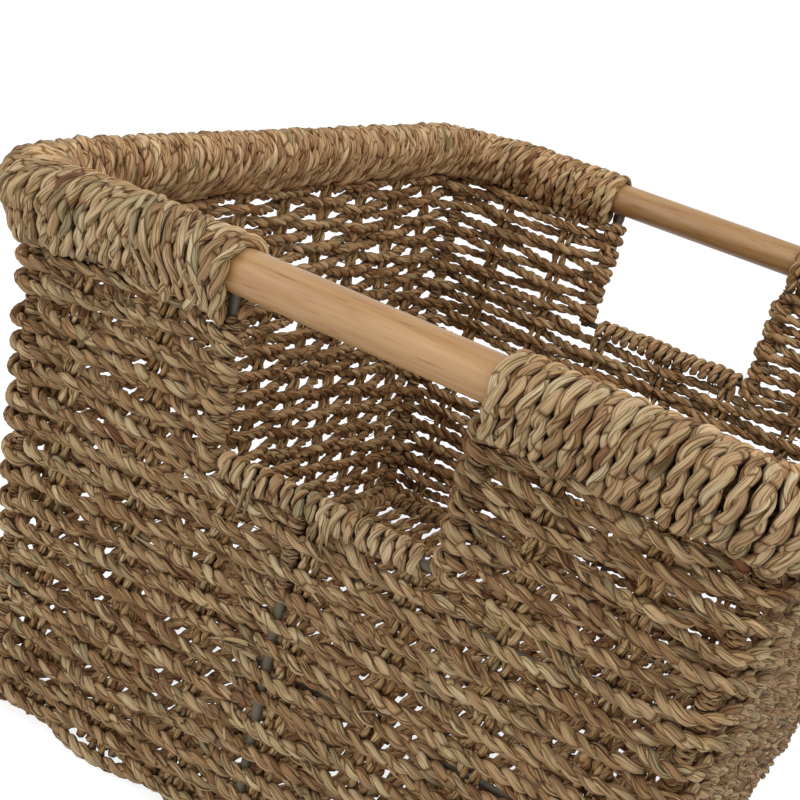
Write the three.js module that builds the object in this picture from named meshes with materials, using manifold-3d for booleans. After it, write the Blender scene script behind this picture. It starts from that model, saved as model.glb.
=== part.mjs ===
// A rectangular magazine basket: a wire frame, twisted seagrass rope woven round doubled rope stakes,
// a rope-wrapped rim, and a turned wooden handle over an opening in each end wall.
// Millimetres, +Z up. The origin is on the floor under the middle of the basket, and X runs
// along the basket, from the left handle to the right one.
import * as THREE from "three";
import { mergeVertices } from "three/addons/utils/BufferGeometryUtils.js";
import Module from "manifold-3d";

const wasm = await Module();
wasm.setup();

// Driving dimensions of the basket
const basketHeight = 280; // floor to the top of the rim
const rimLength = 434; // between the centre lines of the two end rims
const rimWidth = 366; // between the centre lines of the front and back rims
const rimCornerRadius = 30; // of the rim's centre line
const footInset = 20; // how far each wall's foot stands inside its rim
const wallThickness = 13.6;
const baseThickness = 13;

// Wire frame
const wireDiameter = 5;
const uprightGap = 2; // between an upright and the stake beside it
const pegDepth = 6; // how far an upright's tip is let into the handle's underside

// Handles
const handleDiameter = 20;
const handleOpening = 120; // between the two uprights beside an opening
const handleTuck = 25; // how far the handle runs into the wrapped rim at each end
const railSocket = 15; // how far the rail's end goes into the end of the handle

// Rim
const wrapThickness = 3.2;
const wrapSkirt = 18; // how far the wrap reaches below the rail's centre line
const tongueThickness = 8.4; // of the weave's top rows, which the wrap closes over

// Opening in an end wall
const sillDrop = 85; // the sill wire's centre below the rail's centre line
const sillWrapDiameter = 15;
const loopReach = 7; // how far the weave's end loops stand past an upright, into the opening

// Gaps between the rows of rope, as a coarse grid of slots between the stakes below the openings
const slotRows = 5;
const slotLength = 18;
const slotHeight = 5;

// Stakes: each is one rope doubled, so it is twice as wide as it is thick
const stakeWidth = 11;
const stakeThickness = 5.6;
const longStakesPerSide = 4; // stakes of a long wall on each side of its middle one, the last at the corner
const endStakesPerSide = 3; // stakes of an end wall on each side of its middle one, the last at the corner
const stakeBesideUpright = 14; // from an opening's upright in to the nearest stake under the sill
const cornerStakeSetback = 15; // from the end of a straight wall in to its last stake
const stakeRunHeight = 5.5; // centre of a stake's run across the base, above the floor
const crossWireShare = 0.375; // of the way from the middle to the corner

// Clearances
const clearance = 0.3;
const wrapPlay = 0.5; // between the rim's core and its wrap
const cutOverrun = 1; // past the end of what a channel is cut for

// Facets
const cornerSteps = 4;
const bendSteps = 3;
const wireSides = 8;
const stakeEdgeSteps = 1;
const coreSides = 16;
const handleSides = 24;
const wrapArcSteps = 10;

// Sizes that follow
const wireRadius = wireDiameter / 2;
const handleRadius = handleDiameter / 2;
const coreRadius = handleRadius; // the core carries on the handle's line
const rimRadius = coreRadius + wrapPlay + wrapThickness;
const sillWrapRadius = sillWrapDiameter / 2;
const railHeight = basketHeight - rimRadius;
const lean = footInset / railHeight;
const leanLength = Math.hypot(1, lean);
const sillHeight = railHeight - sillDrop / leanLength;
const openingHalf = handleOpening / 2;
const wrapStart = openingHalf;
const weaveStart = openingHalf - loopReach;
const handleHalf = openingHalf + handleTuck;
const stakeBendRadius = wireRadius + clearance + stakeThickness / 2;
const baseWireHeight = stakeRunHeight + stakeBendRadius;
const stakeTop = railHeight - coreRadius - clearance;
const stakeFoot = stakeRunHeight - stakeThickness / 2;
const seamDrop = sillDrop + sillWrapRadius;

// The rim's centre line: a rounded rectangle, walked counter-clockwise from the middle of the right end
const straightX = rimLength / 2 - rimCornerRadius;
const straightY = rimWidth / 2 - rimCornerRadius;
const cornerArc = (Math.PI / 2) * rimCornerRadius;
const quarterLength = straightX + straightY + cornerArc;
const ringLength = 4 * quarterLength;
const longSpacing = (straightX - cornerStakeSetback) / longStakesPerSide;
const sillStakeY = openingHalf - stakeBesideUpright;
const endSpacing = (straightY - cornerStakeSetback - sillStakeY) / (endStakesPerSide - 1);
function endStakeY(index) {
  if (index === 0) {
    return 0;
  }
  return Math.sign(index) * (sillStakeY + (Math.abs(index) - 1) * endSpacing);
}

const colours = {
  seagrass: 0xa78a5f,
  rimRope: 0xae9468,
  stakeRope: 0x96794f,
  core: 0x8d7350,
  wood: 0xcba272,
  wire: 0x7c7d78,
};

/** How far the wall's mid-surface stands inside the rim's centre line at a height. */
function insetAt(height) {
  return lean * (railHeight - height);
}

/** A place on the rim's centre line: its point and the angle of its outward normal. */
function ringPlace(arcLength) {
  const quarterTurn = Math.PI / 2;
  let rest = ((arcLength % ringLength) + ringLength) % ringLength;
  const walls = [
    { length: straightY, x: rimLength / 2, y: 0, angle: 0 },
    { corner: true, x: straightX, y: straightY, angle: 0 },
    { length: 2 * straightX, x: straightX, y: rimWidth / 2, angle: quarterTurn },
    { corner: true, x: -straightX, y: straightY, angle: quarterTurn },
    { length: 2 * straightY, x: -rimLength / 2, y: straightY, angle: 2 * quarterTurn },
    { corner: true, x: -straightX, y: -straightY, angle: 2 * quarterTurn },
    { length: 2 * straightX, x: -straightX, y: -rimWidth / 2, angle: 3 * quarterTurn },
    { corner: true, x: straightX, y: -straightY, angle: 3 * quarterTurn },
    { length: straightY, x: rimLength / 2, y: -straightY, angle: 4 * quarterTurn },
  ];
  for (const wall of walls) {
    const length = wall.corner ? cornerArc : wall.length;
    if (rest <= length) {
      const angle = wall.corner ? wall.angle + rest / rimCornerRadius : wall.angle;
      const reach = wall.corner ? rimCornerRadius : 0;
      const run = wall.corner ? 0 : rest;
      return {
        x: wall.x + reach * Math.cos(angle) - run * Math.sin(angle),
        y: wall.y + reach * Math.sin(angle) + run * Math.cos(angle),
        angle,
      };
    }
    rest -= length;
  }
  return { x: rimLength / 2, y: 0, angle: 0 };
}

/** A curve that ExtrudeGeometry walks through exactly these points, with these tangents. */
class StationCurve extends THREE.Curve {
  constructor(points, tangents) {
    super();
    this.points = points;
    this.tangents = tangents;
  }

  stationAt(share) {
    return Math.round(share * (this.points.length - 1));
  }

  getPoint(share) {
    return this.points[this.stationAt(share)].clone();
  }

  getSpacedPoints() {
    return this.points.map((point) => point.clone());
  }

  getTangentAt(share) {
    return this.tangents[this.stationAt(share)].clone();
  }
}

/** The arc lengths of a stretch of the ring: its ends, and close steps round each corner in it. */
function ringStations(from, to) {
  const stations = [from];
  const cornerStarts = [
    straightY,
    quarterLength + straightX,
    2 * quarterLength + straightY,
    3 * quarterLength + straightX,
  ];
  for (const start of cornerStarts) {
    for (let step = 0; step <= cornerSteps; step += 1) {
      const station = start + (cornerArc * step) / cornerSteps;
      if (station > from + clearance && station < to - clearance) stations.push(station);
    }
  }
  stations.push(to);
  return stations;
}

/** A closed geometry as a solid that can be joined and cut. */
function solidOf(geometry) {
  const bare = geometry.clone();
  bare.deleteAttribute("normal");
  bare.deleteAttribute("uv");
  const merged = mergeVertices(bare, 1e-3);
  return new wasm.Manifold(
    new wasm.Mesh({
      numProp: 3,
      vertProperties: new Float32Array(merged.attributes.position.array),
      triVerts: new Uint32Array(merged.index.array),
    }),
  );
}

/** A cut solid as a geometry again. */
function geometryOf(solid) {
  const mesh = solid.getMesh();
  return new THREE.BufferGeometry()
    .setAttribute("position", new THREE.BufferAttribute(mesh.vertProperties, 3))
    .setIndex(new THREE.BufferAttribute(mesh.triVerts, 1))
    .toNonIndexed();
}

/** A section, given as [outwards, upwards] from the rail's centre line, swept along the ring. */
function sweepRing(section, from, to) {
  const places = ringStations(from, to).map(ringPlace);
  const points = places.map(({ x, y }) => new THREE.Vector3(x, y, railHeight));
  const tangents = places.map(({ angle }) => new THREE.Vector3(-Math.sin(angle), Math.cos(angle), 0));
  const shape = new THREE.Shape(section.map(([out, up]) => new THREE.Vector2(-up, -out)));
  const extrudePath = new StationCurve(points, tangents);
  return solidOf(new THREE.ExtrudeGeometry(shape, { steps: points.length - 1, extrudePath }));
}

/** The same all the way round, joined from two halves that lap by the cutting overrun. */
function sweepWholeRing(section) {
  const half = ringLength / 2;
  return sweepRing(section, 0, half).add(sweepRing(section, half, ringLength));
}

/** The points of a circle in a section. */
function circleSection(out, up, radius, sides) {
  return Array.from({ length: sides }, (_, index) => {
    const turn = (2 * Math.PI * (index + 0.5)) / sides;
    return [out + radius * Math.cos(turn), up + radius * Math.sin(turn)];
  });
}

/** A point of the wall's own leaning frame: outwards from its mid-surface, and along its slope. */
function leaning(out, along) {
  return [(out + along * lean) / leanLength, (along - out * lean) / leanLength];
}

/** The point where a face parallel to the wall's mid-surface crosses a height. */
function wallPoint(out, height) {
  return [out * leanLength - insetAt(height), height - railHeight];
}

/** A straight round rod between two points. */
function rod(from, to, radius, sides) {
  const axis = new THREE.Vector3().subVectors(to, from);
  const geometry = new THREE.CylinderGeometry(radius, radius, axis.length(), sides);
  const turn = new THREE.Quaternion();
  turn.setFromUnitVectors(new THREE.Vector3(0, 1, 0), axis.normalize());
  geometry.applyQuaternion(turn);
  const middle = new THREE.Vector3().addVectors(from, to).multiplyScalar(0.5);
  geometry.translate(middle.x, middle.y, middle.z);
  return solidOf(geometry);
}

/** The point of the wall's mid-surface at a place and a height. */
function midSurface(place, height) {
  const inset = insetAt(height);
  return new THREE.Vector3(
    place.x - inset * Math.cos(place.angle),
    place.y - inset * Math.sin(place.angle),
    height,
  );
}

/** How much longer a piece is at each end when it is grown to cut its own channel. */
function overrunOf(grow) {
  return grow > 0 ? cutOverrun : 0;
}

/** The section of a doubled rope: flat in the middle, with round edges. */
function stakeShape(grow) {
  const edgeRadius = stakeThickness / 2 + grow;
  const flatHalf = (stakeWidth - stakeThickness) / 2;
  const shape = new THREE.Shape();
  shape.moveTo(-flatHalf, -edgeRadius);
  shape.absarc(flatHalf, 0, edgeRadius, -Math.PI / 2, Math.PI / 2, false);
  shape.absarc(-flatHalf, 0, edgeRadius, Math.PI / 2, Math.PI * 1.5, false);
  return shape;
}

/** Puts a geometry on the wall's mid-surface at a place and a height: X along the wall, Z up its slope. */
function standInWall(geometry, place, height) {
  const foot = midSurface(place, height);
  const up = midSurface(place, railHeight).sub(midSurface(place, 0)).normalize();
  const along = new THREE.Vector3(-Math.sin(place.angle), Math.cos(place.angle), 0);
  const across = new THREE.Vector3().crossVectors(up, along);
  geometry.applyMatrix4(new THREE.Matrix4().makeBasis(along, across, up).setPosition(foot));
  return solidOf(geometry);
}

/** A stake that stands in the wall at a place, between two heights. */
function standingStake(place, from, to, grow = 0) {
  const foot = from - overrunOf(grow);
  const depth = (to + overrunOf(grow) - foot) * leanLength;
  const settings = { depth, bevelEnabled: false, curveSegments: stakeEdgeSteps };
  return standInWall(new THREE.ExtrudeGeometry(stakeShape(grow), settings), place, foot);
}

/** A slot through the wall, where two rows of rope leave a gap. */
function weaveSlot(arcLength, height) {
  const depth = wallThickness + 2 * cutOverrun;
  return standInWall(new THREE.BoxGeometry(slotLength, depth, slotHeight), ringPlace(arcLength), height);
}

/** A stake that runs down the front wall, across the base and up the back wall. */
function throughStake(x, grow = 0) {
  const frontWall = -rimWidth / 2;
  const legAngle = Math.PI + Math.atan(lean);
  const bendY = frontWall + insetAt(baseWireHeight) + stakeBendRadius * leanLength;
  const top = stakeTop + overrunOf(grow);
  const points = [new THREE.Vector3(x, frontWall + insetAt(top), top)];
  const tangents = [new THREE.Vector3(0, lean, -1).normalize()];
  for (let step = 0; step <= bendSteps; step += 1) {
    const angle = legAngle + ((1.5 * Math.PI - legAngle) * step) / bendSteps;
    points.push(
      new THREE.Vector3(
        x,
        bendY + stakeBendRadius * Math.cos(angle),
        baseWireHeight + stakeBendRadius * Math.sin(angle),
      ),
    );
    tangents.push(new THREE.Vector3(0, -Math.sin(angle), Math.cos(angle)));
  }
  const backPoints = points.map(({ y, z }) => new THREE.Vector3(x, -y, z)).reverse();
  const backTangents = tangents.map(({ y, z }) => new THREE.Vector3(0, y, -z)).reverse();
  const extrudePath = new StationCurve([...points, ...backPoints], [...tangents, ...backTangents]);
  const steps = extrudePath.points.length - 1;
  const settings = { steps, extrudePath, curveSegments: stakeEdgeSteps };
  return solidOf(new THREE.ExtrudeGeometry(stakeShape(grow), settings));
}

/** An upright wire in the wall at a place, between two heights. */
function upright(arcLength, bottom, top, grow = 0) {
  const place = ringPlace(arcLength);
  const foot = midSurface(place, bottom - overrunOf(grow));
  const head = midSurface(place, top + overrunOf(grow));
  return rod(foot, head, wireRadius + grow, wireSides);
}

/** A rail or base wire: a round section swept along the ring. */
function ringWire(out, height, from, to, grow = 0) {
  const section = circleSection(out, height - railHeight, wireRadius + grow, wireSides);
  return sweepRing(section, from - overrunOf(grow), to + overrunOf(grow));
}

// The two stretches of the ring between the openings, each cut short by a reach from the end walls' middles
const stretches = {
  back: (reach) => [reach, ringLength / 2 - reach],
  front: (reach) => [ringLength / 2 + reach, ringLength - reach],
};

// Each end wall: its middle on the ring, its place along the basket, and the way along the ring to its front
const ends = {
  right: { middle: 0, x: rimLength / 2, frontWay: -1 },
  left: { middle: ringLength / 2, x: -rimLength / 2, frontWay: 1 },
};

/** Each stake as a function of how much it is grown, so that its channel follows it. */
function stakeMakers() {
  const makers = {};
  for (const [side, { middle, frontWay }] of Object.entries(ends)) {
    for (let index = -endStakesPerSide; index <= endStakesPerSide; index += 1) {
      const place = ringPlace(middle - frontWay * endStakeY(index));
      const underSill = Math.abs(endStakeY(index)) < openingHalf;
      const top = underSill ? sillHeight - wireRadius - clearance : stakeTop;
      makers[`${side}_stake_${index + endStakesPerSide + 1}`] = (grow) =>
        standingStake(place, stakeFoot, top, grow);
    }
    for (const [name, way] of [["front", frontWay], ["back", -frontWay]]) {
      const place = ringPlace(middle + way * (straightY + cornerArc + cornerStakeSetback));
      makers[`${side}_${name}_corner_stake`] = (grow) => standingStake(place, stakeFoot, stakeTop, grow);
    }
  }
  for (let index = 1 - longStakesPerSide; index < longStakesPerSide; index += 1) {
    makers[`through_stake_${index + longStakesPerSide}`] = (grow) => throughStake(index * longSpacing, grow);
  }
  return makers;
}

/** Each upright wire as a function of how much it is grown. */
function uprightMakers() {
  const makers = {};
  const baseTop = baseWireHeight + wireDiameter;
  const sillFoot = sillHeight - wireRadius;
  const railTop = railHeight - wireRadius - clearance;
  const pegTop = railHeight - handleRadius + pegDepth;
  const sillTop = sillHeight - wireRadius - clearance;
  const beside = stakeWidth / 2 + uprightGap + wireRadius;
  const corner = straightY + cornerArc / 2;
  for (const [side, { middle, frontWay }] of Object.entries(ends)) {
    for (const [name, way] of [["front", frontWay], ["back", -frontWay]]) {
      const prefix = `${side}_${name}`;
      const besideOpening = middle + way * openingHalf;
      const inCorner = middle + way * corner;
      makers[`${prefix}_handle_upright`] = (grow) => upright(besideOpening, sillFoot, pegTop, grow);
      makers[`${prefix}_corner_upright`] = (grow) => upright(inCorner, baseTop, railTop, grow);
    }
    makers[`${side}_middle_upright`] = (grow) => upright(middle - beside, baseTop, sillTop, grow);
  }
  return makers;
}

/** The wires that lie level: the rails, the sills, the base ring and the base's cross wires. */
function levelWireMakers() {
  const makers = {};
  const ringOut = -insetAt(baseWireHeight) - stakeBendRadius * leanLength;
  for (const [side, stretch] of Object.entries(stretches)) {
    const [from, to] = stretch(handleHalf - railSocket);
    makers[`${side}_top_rail`] = (grow) => ringWire(0, railHeight, from, to, grow);
  }
  for (const [side, { x }] of Object.entries(ends)) {
    const out = x - Math.sign(x) * insetAt(sillHeight);
    const half = openingHalf - wireRadius - clearance;
    makers[`${side}_sill_wire`] = (grow) =>
      rod(
        new THREE.Vector3(out, -half - overrunOf(grow), sillHeight),
        new THREE.Vector3(out, half + overrunOf(grow), sillHeight),
        wireRadius + grow,
        wireSides,
      );
  }
  makers.base_ring_wire = (grow) =>
    sweepWholeRing(circleSection(ringOut, baseWireHeight - railHeight, wireRadius + grow, wireSides));
  const crossHalf = rimWidth / 2 + ringOut - wireRadius - clearance;
  for (const [name, way] of [["left", -1], ["right", 1]]) {
    const x = way * crossWireShare * straightX;
    makers[`${name}_base_cross_wire`] = (grow) =>
      rod(
        new THREE.Vector3(x, -crossHalf - overrunOf(grow), baseWireHeight),
        new THREE.Vector3(x, crossHalf + overrunOf(grow), baseWireHeight),
        wireRadius + grow,
        wireSides,
      );
  }
  return makers;
}

/** The wrap's section: round over the core, narrowing to the wall, and open below for the weave. */
function wrapSection() {
  const innerRadius = coreRadius + wrapPlay;
  const slotHalf = tongueThickness / 2 + clearance;
  const slotTurn = Math.asin(slotHalf / innerRadius);
  const skirtHalf = wallThickness / 2;
  const sideTurn = Math.PI / 2 + Math.atan((rimRadius - skirtHalf) / wrapSkirt);
  const outer = [];
  const inner = [];
  for (let step = 0; step <= wrapArcSteps; step += 1) {
    const share = step / wrapArcSteps;
    const outerTurn = -sideTurn + 2 * sideTurn * share;
    outer.push([rimRadius * Math.sin(outerTurn), rimRadius * Math.cos(outerTurn)]);
    const innerTurn = Math.PI - slotTurn - 2 * (Math.PI - slotTurn) * share;
    inner.push([innerRadius * Math.sin(innerTurn), innerRadius * Math.cos(innerTurn)]);
  }
  const points = [
    [-skirtHalf, -wrapSkirt],
    ...outer,
    [skirtHalf, -wrapSkirt],
    [slotHalf, -wrapSkirt],
    ...inner,
    [-slotHalf, -wrapSkirt],
  ];
  return points.map(([out, along]) => leaning(out, along));
}

/** The woven wall below the openings, grown inwards and outwards to cut what stands beside it. */
function lowerWeaveSection(grow = 0, overrun = 0) {
  const half = wallThickness / 2 + grow;
  const top = -seamDrop - clearance + overrun;
  return [
    wallPoint(-half, -overrun),
    wallPoint(half, -overrun),
    leaning(half, top),
    leaning(-half, top),
  ];
}

/** The woven wall beside the openings, with the thin tongue that the rim's wrap closes over. */
function upperWeaveSection() {
  const half = wallThickness / 2;
  const tongueHalf = tongueThickness / 2;
  const shoulder = -wrapSkirt - clearance;
  const tongueTop = -coreRadius - clearance;
  return [
    leaning(-half, -seamDrop),
    leaning(half, -seamDrop),
    leaning(half, shoulder),
    leaning(tongueHalf, shoulder),
    leaning(tongueHalf, tongueTop),
    leaning(-tongueHalf, tongueTop),
    leaning(-tongueHalf, shoulder),
    leaning(-half, shoulder),
  ];
}

/** The slots of the woven wall below the openings: one column between each two stakes of a wall. */
function weaveSlots() {
  const columns = [];
  for (const { middle } of Object.values(ends)) {
    for (let index = -endStakesPerSide; index < endStakesPerSide; index += 1) {
      columns.push(middle + (endStakeY(index) + endStakeY(index + 1)) / 2);
    }
  }
  for (const middle of [quarterLength, 3 * quarterLength]) {
    for (let index = -longStakesPerSide; index < longStakesPerSide; index += 1) {
      columns.push(middle + (index + 0.5) * longSpacing);
    }
  }
  const slots = [];
  const rowPitch = (railHeight - seamDrop - baseThickness) / slotRows;
  for (let row = 0; row < slotRows; row += 1) {
    const height = baseThickness + (row + 0.5) * rowPitch;
    slots.push(...columns.map((column) => weaveSlot(column, height)));
  }
  return wasm.Manifold.union(slots);
}

/** The base's woven panel, fitted inside the wall's foot. */
function baseWeave(cutters) {
  const outline = ringStations(0, ringLength)
    .slice(0, -1)
    .map((station) => midSurface(ringPlace(station), 0))
    .map(({ x, y }) => new THREE.Vector2(x, y));
  const slab = solidOf(
    new THREE.ExtrudeGeometry(new THREE.Shape(outline), { depth: baseThickness, bevelEnabled: false }),
  );
  return slab.subtract(sweepWholeRing(lowerWeaveSection(clearance, cutOverrun))).subtract(cutters);
}

/** A wooden handle: a turned bar with a socket in each end for the rail, and two holes for the uprights. */
function handle(side, cutters) {
  const { x } = ends[side];
  const bar = rod(
    new THREE.Vector3(x, -handleHalf, railHeight),
    new THREE.Vector3(x, handleHalf, railHeight),
    handleRadius,
    handleSides,
  );
  return bar.subtract(cutters);
}

/** The rope wound round a sill wire. */
function sillWrap(side, cutters) {
  const { x } = ends[side];
  const out = x - Math.sign(x) * insetAt(sillHeight);
  const half = weaveStart - clearance;
  const tube = rod(
    new THREE.Vector3(out, -half, sillHeight),
    new THREE.Vector3(out, half, sillHeight),
    sillWrapRadius,
    coreSides,
  );
  return tube.subtract(cutters);
}

/** All the pieces, by name, each with its solid and its colour. */
function buildPieces() {
  const wires = { ...uprightMakers(), ...levelWireMakers() };
  const inner = { ...stakeMakers(), ...wires };
  const wireCutters = wasm.Manifold.union(Object.values(wires).map((make) => make(clearance)));
  const cutters = wasm.Manifold.union(Object.values(inner).map((make) => make(clearance)));
  const pieces = {};
  for (const [name, make] of Object.entries(inner)) {
    const isStake = name.includes("stake");
    pieces[name] = { solid: make(0), colour: isStake ? colours.stakeRope : colours.wire, metal: !isStake };
  }
  for (const side of Object.keys(ends)) {
    pieces[`${side}_handle`] = { solid: handle(side, wireCutters), colour: colours.wood };
    pieces[`${side}_sill_wrap`] = { solid: sillWrap(side, cutters), colour: colours.rimRope };
  }
  const coreSection = circleSection(0, 0, coreRadius, coreSides);
  for (const [side, stretch] of Object.entries(stretches)) {
    const core = sweepRing(coreSection, ...stretch(handleHalf + clearance)).subtract(wireCutters);
    const wrap = sweepRing(wrapSection(), ...stretch(wrapStart));
    const weave = sweepRing(upperWeaveSection(), ...stretch(weaveStart)).subtract(cutters);
    pieces[`${side}_rim_core`] = { solid: core, colour: colours.core };
    pieces[`${side}_rim_wrap`] = { solid: wrap, colour: colours.rimRope };
    pieces[`${side}_upper_weave`] = { solid: weave, colour: colours.seagrass };
  }
  const lowerWeave = sweepWholeRing(lowerWeaveSection()).subtract(cutters).subtract(weaveSlots());
  pieces.lower_weave = { solid: lowerWeave, colour: colours.seagrass };
  pieces.base_weave = { solid: baseWeave(cutters), colour: colours.seagrass };
  return pieces;
}

const basket = new THREE.Group();
for (const [name, { solid, colour, metal }] of Object.entries(buildPieces())) {
  const material = new THREE.MeshStandardMaterial({
    color: colour,
    roughness: metal ? 0.45 : 0.85,
    metalness: metal ? 0.8 : 0,
  });
  const mesh = new THREE.Mesh(geometryOf(solid), material);
  mesh.name = name;
  basket.add(mesh);
}

export default basket;
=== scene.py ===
"""A magazine basket of twisted seagrass rope on a wire frame, with a pine handle over each end.

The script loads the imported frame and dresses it: rope rows woven round doubled stakes, rope wound
round the rim and the sills, turned handles and enamelled wire. Lengths are metres, and sizes in
millimetres are turned to metres by mm().
"""

from __future__ import annotations

import logging
import math
import zlib
from dataclasses import dataclass, field
from enum import Enum

import bmesh
import bpy
import numpy as np
from mathutils import Matrix, Vector

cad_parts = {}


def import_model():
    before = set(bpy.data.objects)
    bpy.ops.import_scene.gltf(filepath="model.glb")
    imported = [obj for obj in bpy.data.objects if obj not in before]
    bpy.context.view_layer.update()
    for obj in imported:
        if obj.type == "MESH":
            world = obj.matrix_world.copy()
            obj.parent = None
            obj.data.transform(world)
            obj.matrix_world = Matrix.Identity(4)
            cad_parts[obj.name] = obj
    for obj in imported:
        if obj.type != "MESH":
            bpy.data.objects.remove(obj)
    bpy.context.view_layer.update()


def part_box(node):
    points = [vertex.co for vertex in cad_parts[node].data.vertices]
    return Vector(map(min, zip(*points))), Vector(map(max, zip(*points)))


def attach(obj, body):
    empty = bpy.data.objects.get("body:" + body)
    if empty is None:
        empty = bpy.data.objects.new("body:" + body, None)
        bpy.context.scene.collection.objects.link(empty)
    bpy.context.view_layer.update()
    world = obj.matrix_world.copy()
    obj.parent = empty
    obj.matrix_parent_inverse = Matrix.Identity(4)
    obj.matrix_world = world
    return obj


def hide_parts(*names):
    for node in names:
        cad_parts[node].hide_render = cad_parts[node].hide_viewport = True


Array = np.ndarray
Random = np.random.Generator
Material = bpy.types.Material
Tree = bpy.types.NodeTree
Socket = bpy.types.NodeSocket
Node = bpy.types.Node
Pair = tuple[float, float]

logging.basicConfig(level=logging.INFO, format="%(message)s")
log = logging.getLogger("magazine_basket")

BODY = "root"
STAKES_ALONG = range(1, 8)  # the numbers of the stakes along each wall
MULTIPLY = {"data_type": "RGBA", "blend_type": "MULTIPLY"}
WHITE = (1.0, 1.0, 1.0, 1.0)
SAME_PLACE = 1e-7  # metres within which two vertices are one
FEWEST_KNOTS = 4  # of a line that wanders
MOST_SIGMAS = 2.0  # from its middle
FULLNESS = 0.3  # how much fuller than a cosine a row's bends are
WHOLE_TURN = 6.28  # radians, near enough for a random turn
MARKS_FROM = (0, 50000)  # millimetres along the blade pattern where a strand may start


def mm(value: float) -> float:
    """Millimetres as metres."""
    return value / 1000.0


def linear(hex_colour: str) -> tuple[float, float, float, float]:
    """An sRGB hex colour as the linear colour that a shader takes.

    Args:
        hex_colour: Six hex digits, with or without a leading hash.

    Returns:
        Red, green, blue and an alpha of 1.
    """
    digits = hex_colour.lstrip("#")
    channels = [int(digits[start : start + 2], 16) / 255 for start in (0, 2, 4)]
    curve = [c / 12.92 if c <= 0.04045 else ((c + 0.055) / 1.055) ** 2.4 for c in channels]
    return (curve[0], curve[1], curve[2], 1.0)


def seeded(name: str) -> Random:
    """The random numbers of one piece, the same on every run."""
    return np.random.default_rng(zlib.crc32(name.encode()))


def unit(vectors: Array) -> Array:
    """Rows of vectors, each at length one."""
    return vectors / np.maximum(np.linalg.norm(vectors, axis=1, keepdims=True), 1e-12)


def interpolated(wanted: Array, known: Array, rows: Array) -> Array:
    """Rows of values at the wanted places, read between the places where they are known."""
    return np.stack([np.interp(wanted, known, column) for column in rows.T], axis=1)


def spaced(first: float, last: float, pitch: float) -> Array:
    """Even steps from first to last, about a pitch apart."""
    return np.linspace(first, last, round((last - first) / pitch) + 1)


def link(thing: bpy.types.Object) -> None:
    """Puts an object in the scene."""
    bpy.context.scene.collection.objects.link(thing)


def middle(node: str) -> Vector:
    """The middle of a node's box."""
    low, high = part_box(node)
    return (low + high) / 2


class Slot(Enum):
    """The record's material slots."""

    SEAGRASS = "seagrass"
    RIM_ROPE = "rim_rope"
    STAKE_ROPE = "stake_rope"
    RIM_CORE = "rim_core"
    PINE = "pine"
    FRAME_WIRE = "frame_wire"


class Way(Enum):
    """One of two opposite places. Its value is the way that it lies along an axis."""

    def __str__(self) -> str:
        """The word that node names start with."""
        return self.name.lower()


class Side(Way):
    """The two end walls, along X."""

    LEFT = -1
    RIGHT = 1


class Stretch(Way):
    """The two stretches of rim between the openings, along Y."""

    FRONT = -1
    BACK = 1


# Finishes


def add_node(tree: Tree, kind: str, settings: dict | None = None, **links) -> Node:
    """Adds one shader node with its settings and its links.

    Args:
        tree: The material's node tree.
        kind: The node's type name.
        settings: Attributes to set on the node.
        **links: A value or an output to link for each input, which is named with underscores
            for spaces, or i0, i1 and so on by its place.

    Returns:
        The new node.
    """
    node = tree.nodes.new(kind)
    for name, value in (settings or {}).items():
        setattr(node, name, value)
    for name, value in links.items():
        key = int(name[1:]) if name[0] == "i" and name[1:].isdigit() else name.replace("_", " ")
        if isinstance(value, Socket):
            tree.links.new(value, node.inputs[key])
        else:
            node.inputs[key].default_value = value
    return node


def colour_ramp(tree: Tree, factor: Socket, stops: list[tuple[float, str]]) -> Socket:
    """A ramp through sRGB hex colours.

    Args:
        tree: The material's node tree.
        factor: What the ramp reads.
        stops: Each stop's place, from 0 to 1, and its colour.

    Returns:
        The ramp's colour output.
    """
    node = add_node(tree, "ShaderNodeValToRGB", Fac=factor)
    ramp = node.color_ramp
    while len(ramp.elements) < len(stops):
        ramp.elements.new(1.0)
    for element, (place, colour) in zip(ramp.elements, stops):
        element.position = place
        element.color = linear(colour)
    return node.outputs["Color"]


def new_material(name: str) -> tuple[Material, Tree, Node]:
    """A material with an empty tree but for its surface shader.

    Args:
        name: The material's name.

    Returns:
        The material, its tree and its Principled shader.
    """
    material = bpy.data.materials.new(name)
    material.use_nodes = True
    tree = material.node_tree
    tree.nodes.clear()
    shader = add_node(tree, "ShaderNodeBsdfPrincipled")
    add_node(tree, "ShaderNodeOutputMaterial", Surface=shader.outputs["BSDF"])
    return material, tree, shader


def dress(
    tree: Tree, shader: Node, colour: Socket, height: Socket, depth: float, strength: float, **values
) -> None:
    """Gives a surface shader its colour, its relief and its plain values.

    Args:
        tree: The material's node tree.
        shader: The Principled shader.
        colour: The colour output.
        height: The relief's output.
        depth: How deep the relief is, in metres.
        strength: How much of it shows.
        **values: For each of the shader's inputs, with spaces as underscores, a value.
    """
    bump = add_node(tree, "ShaderNodeBump", Height=height, Distance=depth, Strength=strength)
    tree.links.new(colour, shader.inputs["Base Color"])
    tree.links.new(bump.outputs["Normal"], shader.inputs["Normal"])
    for name, value in values.items():
        shader.inputs[name.replace("_", " ")].default_value = value


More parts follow.
